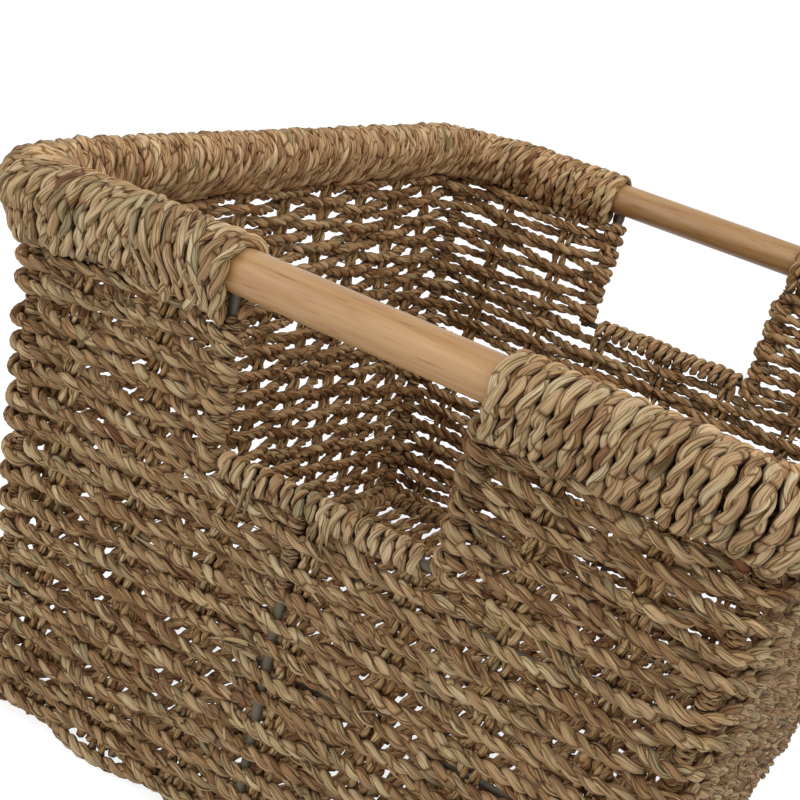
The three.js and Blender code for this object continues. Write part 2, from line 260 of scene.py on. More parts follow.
@dataclass(frozen=True)
class SeagrassFinish:
    """Dried seagrass, twisted by hand: flat matt blades, each its own shade from straw to olive and rust.

    The UV map runs in millimetres along a strand, and once round it from 0 to 1. Each cell of the
    blade pattern is one blade's visible stretch, with fine fibre lines along it and painted shade
    where the next blade laps over. Painted shade also darkens the creases between strands, and
    painted light leaves the walls' inner side lighter and warmer than the outer.
    """

    name: str
    shadow: str
    dark: str
    middle: str
    light: str
    straw: str
    olive: str = "#b3a783"
    rust: str = "#a47b5d"
    # Painted light: the walls' outer side darker and greyer, their inner side lighter and warmer.
    weathered: str = "#dcdad8"
    sheltered: str = "#f7ede6"
    blade_length_mm: float = 15.0
    blades_round: float = 3.0
    strip_length_mm: float = 24.0
    strips_round: float = 8.0
    fibre_length_mm: float = 11.0
    fibres_round: float = 24.0
    patch_length_mm: float = 170.0
    patches_round: float = 0.8
    blade_turn_mm: float = 80.0
    # How far the painted shade in the creases between strands reaches.
    crease_mm: float = 2.5
    bump_mm: float = 0.45
    strip_relief: float = 1.6

    def build(self, layout: Layout) -> Material:
        """Makes the material.

        Args:
            layout: The basket's layout, for what lies inside the walls.

        Returns:
            The material, ready to assign.
        """
        material, tree, shader = new_material(self.name)
        uv = add_node(tree, "ShaderNodeUVMap", {"uv_map": "UVMap"}).outputs["UV"]
        turn = (0.0, 0.0, 1 / self.blade_turn_mm)
        place = add_node(tree, "ShaderNodeMapping", Vector=uv, Rotation=turn).outputs["Vector"]
        marks = (1 / self.blade_length_mm, self.blades_round, 1.0)
        blades = add_node(tree, "ShaderNodeMapping", Vector=place, Scale=marks).outputs["Vector"]
        flat = {"voronoi_dimensions": "2D"}
        cells = add_node(tree, "ShaderNodeTexVoronoi", flat, Vector=blades, Scale=1.0)
        shade = add_node(tree, "ShaderNodeSeparateColor", Color=cells.outputs["Color"])
        flat["feature"] = "DISTANCE_TO_EDGE"
        lap_shade = add_node(tree, "ShaderNodeTexVoronoi", flat, Vector=blades, Scale=1.0)
        strips = self.streaks(tree, place, self.strip_length_mm, self.strips_round)
        fibres = self.streaks(tree, place, self.fibre_length_mm, self.fibres_round, detail=2.0)
        patches = self.streaks(tree, place, self.patch_length_mm, self.patches_round)
        crease_shade = add_node(tree, "ShaderNodeAmbientOcclusion", {"samples": 4}, Distance=mm(self.crease_mm))
        blade_shades = [(0.008, self.rust), (0.03, self.dark), (0.30, self.middle), (0.62, self.light)]
        blade_shades += [(0.88, self.straw), (0.92, self.middle), (0.98, self.olive)]
        colour = colour_ramp(tree, shade.outputs["Red"], blade_shades)
        # Each layer darkens the blades: shaded strips, fibre lines, painted shade in the laps between blades,
        # bleached and brown stretches of rope, painted light that leaves the walls' outer side darker and
        # greyer than the inner, and painted shade in the creases between strands.
        layers = (
            (strips, [(0.27, self.shadow), (0.33, "#dcd3c6"), (0.39, "#ffffff")]),
            (fibres, [(0.34, "#bbad98"), (0.50, "#ffffff")]),
            # Painted shade: a dark line along each blade's edge, where the next blade laps over.
            (lap_shade.outputs["Distance"], [(0.0, "#7d6b57"), (0.045, "#dcd2c4"), (0.09, "#ffffff")]),
            (patches, [(0.30, "#cebba8"), (0.44, "#f3e8dd"), (0.56, "#f8f5ee"), (0.68, "#fcfff9")]),
            # Painted light: the inner side of the walls lighter and warmer than the outer.
            (self.depth_inside(tree, layout), [(0.3, self.weathered), (0.7, self.sheltered)]),
            # Painted shade: darker in the creases where strands lie close together.
            (crease_shade.outputs["AO"], [(0.30, "#77644e"), (0.80, "#ffffff")]),
        )
        for factor, stops in layers:
            layer = colour_ramp(tree, factor, stops)
            colour = add_node(tree, "ShaderNodeMix", MULTIPLY, i0=1.0, i6=colour, i7=layer).outputs[2]
        both = {"operation": "MULTIPLY_ADD"}
        height = add_node(tree, "ShaderNodeMath", both, i0=strips, i1=self.strip_relief, i2=fibres).outputs[0]
        values = {"Roughness": 0.72, "Specular_IOR_Level": 0.25}
        dress(tree, shader, colour, height, depth=mm(self.bump_mm), strength=1.0, **values)
        return material

    @staticmethod
    def depth_inside(tree: Tree, layout: Layout) -> Socket:
        """How far a place lies inside the walls' middle: 0 on the outer side, and 1 on the inner.

        Args:
            tree: The material's node tree.
            layout: The basket's layout.

        Returns:
            A value output.
        """
        place = add_node(tree, "ShaderNodeTexCoord").outputs["Object"]
        axes = add_node(tree, "ShaderNodeSeparateXYZ", Vector=place).outputs
        minus = {"operation": "SUBTRACT"}
        reaches = []
        for axis, half in (("X", layout.half_length), ("Y", layout.half_width)):
            size = add_node(tree, "ShaderNodeMath", {"operation": "ABSOLUTE"}, i0=axes[axis]).outputs[0]
            reaches.append(add_node(tree, "ShaderNodeMath", minus, i0=size, i1=half).outputs[0])
        outer = add_node(tree, "ShaderNodeMath", {"operation": "MAXIMUM"}, i0=reaches[0], i1=reaches[1])
        drop = add_node(tree, "ShaderNodeMath", minus, i0=layout.rail_height, i1=axes["Z"]).outputs[0]
        leant = {"operation": "MULTIPLY_ADD"}
        out = add_node(tree, "ShaderNodeMath", leant, i0=drop, i1=layout.lean, i2=outer.outputs[0])
        ends = {"From_Min": layout.rope_depth, "From_Max": -layout.rope_depth}
        return add_node(tree, "ShaderNodeMapRange", Value=out.outputs[0], **ends).outputs["Result"]

    @staticmethod
    def streaks(tree: Tree, place: Socket, length_mm: float, count: float, detail: float = 1.0) -> Socket:
        """Streaks that run along a strand.

        Args:
            tree: The material's node tree.
            place: The strand's place output.
            length_mm: About how long a streak is.
            count: How many streaks lie side by side round the strand.
            detail: The noise's detail.

        Returns:
            The noise's value output.
        """
        marks = (1 / length_mm, count, 1.0)
        at = add_node(tree, "ShaderNodeMapping", Vector=place, Scale=marks).outputs["Vector"]
        flat = {"noise_dimensions": "2D"}
        return add_node(tree, "ShaderNodeTexNoise", flat, Vector=at, Scale=1.0, Detail=detail).outputs["Fac"]


SEAGRASSES = (
    SeagrassFinish("woven_seagrass", "#8f7d63", "#b0926e", "#cdaf86", "#dcc198", "#ead3ac"),
    SeagrassFinish("wound_seagrass", "#b39d81", "#cab088", "#e0c59b", "#ead1aa", "#f2ddba"),
    SeagrassFinish("doubled_seagrass", "#998567", "#c2a275", "#e4c48f", "#f2d5a4", "#fbe6bf"),
    SeagrassFinish("bundled_seagrass", "#5e4e3b", "#6f5636", "#836847", "#957a55", "#a88d66"),
)


@dataclass(frozen=True)
class PineFinish:
    """Clear-lacquered pine, turned and sanded: pale honey wood with thin reddish grain along the handle."""

    name: str = "lacquered_pine"
    pale: str = "#ba9364"
    honey: str = "#af8858"
    grain: str = "#a67b4c"
    dash: str = "#9a5836"
    ring_width_mm: float = 4.5
    ring_depth_mm: float = 9.9
    ring_length_mm: float = 90.0
    ring_slope_deg: float = 3.0
    pore_width_mm: float = 1.1
    pore_length_mm: float = 16.0
    pore_depth_mm: float = 0.05
    fleck_share: float = 0.55

    def build(self) -> Material:
        """Makes the material.

        Returns:
            The material, ready to assign.
        """
        material, tree, shader = new_material(self.name)
        place = add_node(tree, "ShaderNodeTexCoord").outputs["Object"]
        noises = []
        for widths, slope in (
            ((self.ring_width_mm, self.ring_length_mm, self.ring_depth_mm), self.ring_slope_deg),
            ((self.pore_width_mm, self.pore_length_mm, self.pore_width_mm), 0.0),
        ):
            marks = [1000 / width for width in widths]
            turn = (math.radians(slope), 0.0, 0.0)
            at = add_node(tree, "ShaderNodeMapping", Vector=place, Rotation=turn, Scale=marks)
            noise = add_node(tree, "ShaderNodeTexNoise", Vector=at.outputs["Vector"], Scale=1.0, Detail=2.0)
            noises.append(noise.outputs["Fac"])
        rings, pores = noises
        shades = [(0.34, self.pale), (0.50, self.honey), (0.60, self.grain), (0.68, self.honey)]
        wood = colour_ramp(tree, rings, shades)
        flecks = colour_ramp(tree, pores, [(0.27, self.dash), (0.35, "#f0e6dc"), (0.50, "#ffffff")])
        dressed = add_node(tree, "ShaderNodeMix", MULTIPLY, i0=self.fleck_share, i6=wood, i7=flecks)
        values = {"Roughness": 0.42, "Coat_Weight": 0.15, "Coat_Roughness": 0.3}
        depth = mm(self.pore_depth_mm)
        dress(tree, shader, dressed.outputs[2], pores, depth=depth, strength=0.5, **values)
        return material


@dataclass(frozen=True)
class EnamelledWireFinish:
    """Drawn steel wire dipped in grey-green enamel: a smooth satin skin with slight pooling."""

    name: str = "enamelled_wire"
    light: str = "#665e4c"
    dark: str = "#4a4233"
    mottle_mm: float = 9.0
    relief_mm: float = 0.1

    def build(self) -> Material:
        """Makes the material.

        Returns:
            The material, ready to assign.
        """
        material, tree, shader = new_material(self.name)
        place = add_node(tree, "ShaderNodeTexCoord").outputs["Object"]
        noise = add_node(tree, "ShaderNodeTexNoise", Vector=place, Scale=1000 / self.mottle_mm, Detail=3.0)
        mottle = noise.outputs["Fac"]
        colour = colour_ramp(tree, mottle, [(0.35, self.dark), (0.65, self.light)])
        dress(tree, shader, colour, mottle, depth=mm(self.relief_mm), strength=0.4, Roughness=0.5)
        return material


# The basket's layout, read from the frame


@dataclass
class Layout:
    """Where the rim, the walls, the stakes and the wires lie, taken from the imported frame."""

    corner_radius: float = mm(30)
    corner_dip: float = mm(3)
    wire_radius: float = mm(2.5)
    rope_depth: float = mm(6)
    rail_height: float = field(init=False)
    half_length: float = field(init=False)
    half_width: float = field(init=False)
    lean: float = field(init=False)
    opening_half: float = field(init=False)
    sill_height: float = field(init=False)
    seam_height: float = field(init=False)
    skirt_height: float = field(init=False)

    def __post_init__(self) -> None:
        """Measures the frame's nodes."""
        end = middle("right_handle")
        self.rail_height, self.half_length = end.z, end.x
        self.half_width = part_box("back_top_rail")[1].y - self.wire_radius
        self.seam_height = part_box("lower_weave")[1].z
        low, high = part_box("right_front_handle_upright")
        self.opening_half = -(low.y + high.y) / 2
        self.lean = (high.x - low.x - 2 * self.wire_radius) / (high.z - low.z)
        self.sill_height = middle("right_sill_wire").z
        self.skirt_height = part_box("front_rim_wrap")[0].z
        log.info("rail height %.4f m, lean %.4f", self.rail_height, self.lean)

    @property
    def straight_x(self) -> float:
        """Half the straight length of a long wall's rim."""
        return self.half_length - self.corner_radius

    @property
    def straight_y(self) -> float:
        """Half the straight length of an end wall's rim."""
        return self.half_width - self.corner_radius

    @property
    def corner_arc(self) -> float:
        """The rim's length round one corner."""
        return self.corner_radius * math.pi / 2

    @property
    def quarter(self) -> float:
        """The rim's length from the middle of an end wall to the middle of a long one."""
        return self.straight_x + self.straight_y + self.corner_arc

    @property
    def around(self) -> float:
        """The rim's whole length."""
        return 4 * self.quarter

    def cornering(self, station: Array) -> Array:
        """How near a place is to the middle of a corner: 1 there, and 0 from the straight walls on."""
        first = self.straight_y + self.corner_arc / 2
        place = np.mod(np.asarray(station), 2 * self.quarter)
        gap = np.minimum(np.abs(place - first), np.abs(place - (2 * self.quarter - first)))
        return np.cos(np.clip(gap / self.corner_arc, 0.0, 1.0) * math.pi / 2) ** 2

    def inset(self, height: Array | float) -> Array | float:
        """How far the wall's middle stands inside the rim's line at a height."""
        return self.lean * (self.rail_height - height)

    def rim_line(self, station: Array) -> tuple[Array, Array]:
        """Points of the rim's line, which dips a little at the corners, and its outward directions.

        Args:
            station: Distances along the rim, counter-clockwise from the middle of the right end.

        Returns:
            The points and the level, outward unit vectors, in rows.
        """
        rest = np.mod(station + self.straight_y, self.around)[:, None]
        points = facing = np.zeros((len(rest), 3))
        start = 0.0
        for index in range(4):
            turn = index * math.pi / 2
            ahead = np.array([math.cos(turn), math.sin(turn), 0.0])
            along = np.array([-math.sin(turn), math.cos(turn), 0.0])
            half = self.straight_x if index % 2 else self.straight_y
            reach = self.half_width if index % 2 else self.half_length
            run = rest - start - half
            bend = np.clip((run - half) / self.corner_radius, 0.0, math.pi / 2)
            way = ahead * np.cos(bend) + along * np.sin(bend)
            centre = ahead * (reach - self.corner_radius) + along * np.minimum(run, half)
            points = np.where(run >= -half, centre + way * self.corner_radius, points)
            facing = np.where(run >= -half, way, facing)
            start += 2 * half + self.corner_arc
        points[:, 2] = self.rail_height - self.corner_dip * self.cornering(station)
        return points, facing

    def wall(self, station: Array, out: Array, height: Array) -> tuple[Array, Array]:
        """Points beside the wall's leaning middle surface.

        Args:
            station: Distances along the rim.
            out: Distances square to the wall, outwards.
            height: Heights above the floor.

        Returns:
            The points, and the wall's outward normals.
        """
        rim, outward = self.rim_line(station)
        slope = math.hypot(1.0, self.lean)
        normal = outward / slope
        normal[:, 2] = -self.lean / slope
        line = rim - outward * np.asarray(self.inset(height)).reshape(-1, 1)
        line[:, 2] = height
        return line + normal * np.asarray(out).reshape(-1, 1), normal

    def base_ring(self, share: Array) -> tuple[Array, Array]:
        """Points of the base ring's wire, at shares of its length, and the outward directions there."""
        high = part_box("base_ring_wire")[1]
        rim, outward = self.rim_line(share * self.around)
        points = rim - outward * (self.half_length - (high.x - self.wire_radius))
        points[:, 2] = middle("base_ring_wire").z
        return points, outward

    def end_station(self, side: Side, y: float) -> float:
        """The station of a place across an end wall."""
        return y % self.around if side is Side.RIGHT else 2 * self.quarter - y

    def long_station(self, stretch: Stretch, x: float) -> float:
        """The station of a place along a long wall."""
        return self.quarter - x if stretch is Stretch.BACK else 3 * self.quarter + x

    def standing_stakes(self) -> dict[str, float]:
        """The station of each stake that stands in one wall, by its node."""
        found = {}
        for side in Side:
            for index in STAKES_ALONG:
                node = f"{side}_stake_{index}"
                found[node] = self.end_station(side, middle(node).y)
            for stretch in Stretch:
                node = f"{side}_{stretch}_corner_stake"
                found[node] = self.long_station(stretch, middle(node).x)
        return found

    def stake_stations(self) -> list[float]:
        """The stations of all that the rows pass before or behind, stakes and corner wires, in order."""
        found = list(self.standing_stakes().values())
        for index in STAKES_ALONG:
            x = middle(f"through_stake_{index}").x
            found.extend(self.long_station(stretch, x) for stretch in Stretch)
        found.extend(self.corner_station(side, stretch) % self.around for side in Side for stretch in Stretch)
        return sorted(found)

    def corner_station(self, side: Side, stretch: Stretch) -> float:
        """The station of the wire that stands in the bend of a corner."""
        reach = self.straight_y + self.corner_arc / 2
        end = 0.0 if side is Side.RIGHT else 2 * self.quarter
        return end + side.value * stretch.value * reach

    def opening_span(self, stretch: Stretch, reach: float) -> tuple[float, float]:
        """The two stations between which a stretch of rim runs, each a reach from an end wall's middle."""
        if stretch is Stretch.BACK:
            return reach, 2 * self.quarter - reach
        return 2 * self.quarter + reach, self.around - reach


# Rope


@dataclass(frozen=True)
class RopeGrade:
    """How a grade of two-ply rope is laid, in metres, and how uneven it is.

    The drift of its turns, its looseness and its swells each have a length of wave and a usual share.
    """

    strand_radius: float
    reach_out: float
    reach_across: float
    lay: float
    step: float
    strands: int = 2
    counter_twist_share: float = 0.3
    drift: Pair = (mm(48), 0.16)
    looseness: Pair = (mm(16), 0.10)
    swells: tuple[Pair, ...] = ((mm(9), 0.09), (mm(32), 0.07))
    tip_length: float = mm(4)
    tip_share: float = 0.3


WEAVER = RopeGrade(mm(2.4), mm(1.2), mm(1.45), mm(16), mm(2))
RIM_WEAVER = RopeGrade(mm(2.75), mm(0.95), mm(1.55), mm(21), mm(1.8))
SILL_WEAVER = RopeGrade(mm(2.05), mm(0.75), mm(1.2), mm(15), mm(1.6))
STAKE_CORD = RopeGrade(mm(1.7), mm(1.1), mm(1.1), mm(18), mm(2.4))
BASE_WEAVER = RopeGrade(mm(2.5), mm(1.2), mm(1.4), mm(22), mm(3.2))
POST_CORD = RopeGrade(mm(1.1), mm(0.5), mm(0.9), mm(12), mm(1.6))


def wander(distance: Array, total: float, wave: float, amount: float, rng: Random) -> Array:
    """A smooth, small, random wandering that meets itself at the end of a closed line.

    Args:
        distance: Distances along the line.
        total: The line's whole length.
        wave: The usual length of one wave.
        amount: The usual size of a value.
        rng: The piece's random numbers.

    Returns:
        One value for each distance.
    """
    knots = max(FEWEST_KNOTS, round(total / wave))
    heights = np.clip(rng.normal(0.0, 1.0, knots), -MOST_SIGMAS, MOST_SIGMAS)
    place = distance / total * knots
    before = np.floor(place).astype(int)
    share = place - before
    eased = share * share * (3 - 2 * share)
    return amount * (heights[before % knots] * (1 - eased) + heights[(before + 1) % knots] * eased)


def over_and_under(place: Array, posts: Array) -> Array:
    """How a row weaves between posts.

    Args:
        place: Places along the row.
        posts: The posts' places in order.

    Returns:
        1 where the row passes before the first post and every second one after it, and -1 at the others.
    """
    index = np.clip(np.searchsorted(posts, place, side="right") - 1, 0, len(posts) - 2)
    share = (place - posts[index]) / (posts[index + 1] - posts[index])
    cosine = np.cos(math.pi * np.clip(share, 0.0, 1.0))
    return np.where(index % 2 == 0, 1.0, -1.0) * cosine * (1 + FULLNESS * (1 - cosine**2))


def blade(share: Array, half_mm: float, fullness: float, end: float, tip: float) -> Array:
    """The half widths of a flat blade that narrows to its tips.

    Args:
        share: Shares of its length.
        half_mm: The greatest half width.
        fullness: How soon it is full at its start, or 0 where its start is hidden.
        end: The share at which it would come to a point.
        tip: How blunt its tips are.

    Returns:
        Half widths in metres.
    """
    start = fullness * share if fullness else 1.0
    return mm(half_mm) * np.sqrt(np.clip(start * (end - share), tip, 1.0))


@dataclass
class Line:
    """A rope's middle line: its points, the directions square to what it lies on, and whether it closes."""

    points: Array
    normals: Array
    closed: bool = False

    def lengths(self) -> tuple[Array, float]:
        """Distances along the line, and its whole length."""
        following = np.roll(self.points, -1, axis=0)
        gaps = np.linalg.norm(following - self.points, axis=1)
        if not self.closed:
            gaps[-1] = 0.0
        total = float(gaps.sum())
        return np.concatenate([[0.0], np.cumsum(gaps)[:-1]]), total

    def resampled(self, step: float) -> Line:
        """The same line with evenly spaced points.

        Args:
            step: About how far apart the new points lie.

        Returns:
            The new line.
        """
        distance, total = self.lengths()
        points, normals = self.points, self.normals
        if self.closed:
            distance = np.append(distance, total)
            points = np.vstack([points, points[:1]])
            normals = np.vstack([normals, normals[:1]])
        count = max(4, round(total / step))
        wanted = np.linspace(0.0, total, count + 1)
        if self.closed:
            wanted = wanted[:-1]
        new_points = interpolated(wanted, distance, points)
        return Line(new_points, unit(interpolated(wanted, distance, normals)), self.closed)

    def frames(self) -> tuple[Array, Array]:
        """For each point, the direction out and the direction across, both square to the line."""
        if self.closed:
            tangent = np.roll(self.points, -1, axis=0) - np.roll(self.points, 1, axis=0)
        else:
            tangent = np.gradient(self.points, axis=0)
        tangent = unit(tangent)
        out = unit(self.normals - tangent * np.sum(self.normals * tangent, axis=1, keepdims=True))
        return out, np.cross(tangent, out)


@dataclass(frozen=True)
class Section:
    """The outline of one strand: a round bundle whose blades stand out as ridges."""

    sides: int = 8
    ridge_share: float = 0.05
    flatness: float = 0.8
    ridges: int = 4

    def build(self) -> bpy.types.Object:
        """Makes the outline as a closed curve of about radius one.

        Returns:
            The curve object, for a sweep.
        """
        outline = bpy.data.curves.new("strand_section", "CURVE")
        outline.dimensions = "2D"
        spline = outline.splines.new("POLY")
        spline.points.add(self.sides - 1)
        for index, point in enumerate(spline.points):
            turn = -2 * math.pi * index / self.sides
            radius = 1 + self.ridge_share * math.sin(self.ridges * turn + math.cos(turn))
            point.co = (radius * math.cos(turn), self.flatness * radius * math.sin(turn), 0.0, 1.0)
        spline.use_cyclic_u = True
        return bpy.data.objects.new("strand_section", outline)


PLAIN = Section(sides=6)


@dataclass
class Strand:
    """One strand or wire: the line it follows, its size and turn along it, and where its marks start."""

    points: Array
    radii: Array
    tilts: Array
    closed: bool = False
    marks_along: float = 0.0
    marks_round: float = 0.0

    @property
    def stretches(self) -> int:
        """How many steps the strand has."""
        return len(self.points) - (0 if self.closed else 1)

    @property
    def length(self) -> float:
        """The strand's length in metres."""
        return Line(self.points, self.points, self.closed).lengths()[1]


@dataclass
class Piece:
    """One visible piece, swept from strands along curves."""

    name: str
    section: Section = Section()
    strands: list[Strand] = field(default_factory=list)

    def add_rope(self, line: Line, grade: RopeGrade, rng: Random, taper: bool = False) -> None:
        """Lays a rope along a line.

        Args:
            line: The rope's middle line.
            grade: How the rope is laid.
            rng: The piece's random numbers.
            taper: Whether the rope's ends narrow to a tip.
        """
        even = line.resampled(grade.step)
        out, across = even.frames()
        distance, total = even.lengths()
        turns = total / grade.lay
        if line.closed:
            turns = max(1, round(turns))
        start = rng.random()
        drift = wander(distance, total, *grade.drift, rng)
        for index in range(grade.strands):
            phase = 2 * math.pi * (turns * distance / total + start + index / grade.strands + drift)
            reach = 1 + wander(distance, total, *grade.looseness, rng)
            centre = even.points + out * (grade.reach_out * reach * np.cos(phase))[:, None]
            centre += across * (grade.reach_across * reach * np.sin(phase))[:, None]
            swell = sum(wander(distance, total, *unevenness, rng) for unevenness in grade.swells)
            radii = grade.strand_radius * (1 + swell)
            if taper:
                from_end = np.minimum(distance, total - distance) / grade.tip_length
                radii *= np.clip(from_end + grade.tip_share, grade.tip_share, 1.0)
            self.add_strand(centre, radii, grade.counter_twist_share * phase, rng, line.closed)

    def add_strand(
        self, points: Array, radii: Array, tilts: Array, rng: Random, closed: bool = False
    ) -> None:
        """Adds one strand, whose marks start at a random place."""
        marks = float(rng.uniform(*MARKS_FROM))
        self.strands.append(Strand(points, radii, tilts, closed, marks, float(rng.random())))

    def add_tube(self, points: Array, radius: float, closed: bool = False) -> None:
        """Adds a plain tube along a line."""
        count = len(points)
        self.strands.append(Strand(points, np.full(count, radius), np.zeros(count), closed))

    def swept(self) -> bpy.types.Mesh:
        """Sweeps the section along every strand.

        Returns:
            A mesh whose UV map runs in millimetres along a strand and from 0 to 1 round it.
        """
        curve = bpy.data.curves.new(self.name, "CURVE")
        curve.dimensions = "3D"
        curve.bevel_mode = "OBJECT"
        section = self.section.build()
        curve.bevel_object = section
        curve.use_fill_caps = True
        for strand in self.strands:
            spline = curve.splines.new("POLY")
            spline.points.add(len(strand.points) - 1)
            corners = np.ones((len(strand.points), 4), np.float32)
            corners[:, :3] = strand.points
            spline.points.foreach_set("co", corners.ravel())
            spline.points.foreach_set("radius", strand.radii.astype(np.float32))
            spline.points.foreach_set("tilt", strand.tilts.astype(np.float32))
            spline.use_cyclic_u = strand.closed
        carrier = bpy.data.objects.new(self.name, curve)
        link(carrier)
        graph = bpy.context.evaluated_depsgraph_get()
        mesh = bpy.data.meshes.new_from_object(carrier.evaluated_get(graph), depsgraph=graph)
        outline = section.data
        bpy.data.objects.remove(carrier)
        bpy.data.objects.remove(section)
        bpy.data.curves.remove(curve)
        bpy.data.curves.remove(outline)
        self.mark(mesh)
        return mesh

    def mark(self, mesh: bpy.types.Mesh) -> None:
        """Turns the swept UV map to millimetres along each strand, with its own start.

        Args:
            mesh: The swept mesh, whose four-sided faces lie in the order of the strands.
        """
        layer = mesh.uv_layers[0]
        layer.name = "UVMap"
        places = np.zeros(len(mesh.loops) * 2, np.float32)
        layer.data.foreach_get("uv", places)
        places = places.reshape(-1, 2)
        corners = np.zeros(len(mesh.polygons), np.int32)
        mesh.polygons.foreach_get("loop_total", corners)
        walls = np.repeat(corners == 4, corners)
        counts = [4 * self.section.sides * strand.stretches for strand in self.strands]
        lengths = np.repeat([strand.length * 1000 for strand in self.strands], counts)
        along = np.repeat([strand.marks_along for strand in self.strands], counts)
        turns = np.repeat([strand.marks_round for strand in self.strands], counts)
        places[walls, 0] = places[walls, 0] * lengths + along
        places[walls, 1] += turns
        layer.data.foreach_set("uv", places.ravel())

    def finish(self, material: Material, slot: Slot, *nodes: str) -> bpy.types.Object:
        """Sweeps the strands, closes their ends and puts the piece in the frame.

        Args:
            material: The piece's finish.
            slot: The record's material slot; not used.
            *nodes: The frame's nodes that the piece stands for.

        Returns:
            The finished object.
        """
        data = self.swept()
        if not all(strand.closed for strand in self.strands):
            shell = bmesh.new()
            shell.from_mesh(data)
            rims = [vertex for vertex in shell.verts if vertex.is_boundary]
            bmesh.ops.remove_doubles(shell, verts=rims, dist=SAME_PLACE)
            shell.to_mesh(data)
            shell.free()
        return place_piece(self.name, data, material, nodes)


def place_piece(
    name: str, data: bpy.types.Mesh, material: Material, nodes: tuple[str, ...]
) -> bpy.types.Object:
    """Puts a finished mesh in the frame.

    Args:
        name: The piece's name.
        data: Its mesh.
        material: Its finish.
        nodes: The frame's nodes that the piece stands for.

    Returns:
        The new object.
    """
    data.name = name
    data.materials.clear()
    data.materials.append(material)
    piece = bpy.data.objects.new(name, data)
    link(piece)
    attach(piece, BODY)
    if nodes:
        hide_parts(*nodes)
    log.info("%s: %d faces", name, len(data.polygons))
    return piece


# Sub-assemblies


@dataclass
class SubAssembly:
    """Pieces that are built on the layout and share a finish."""

    layout: Layout
    finish: Material


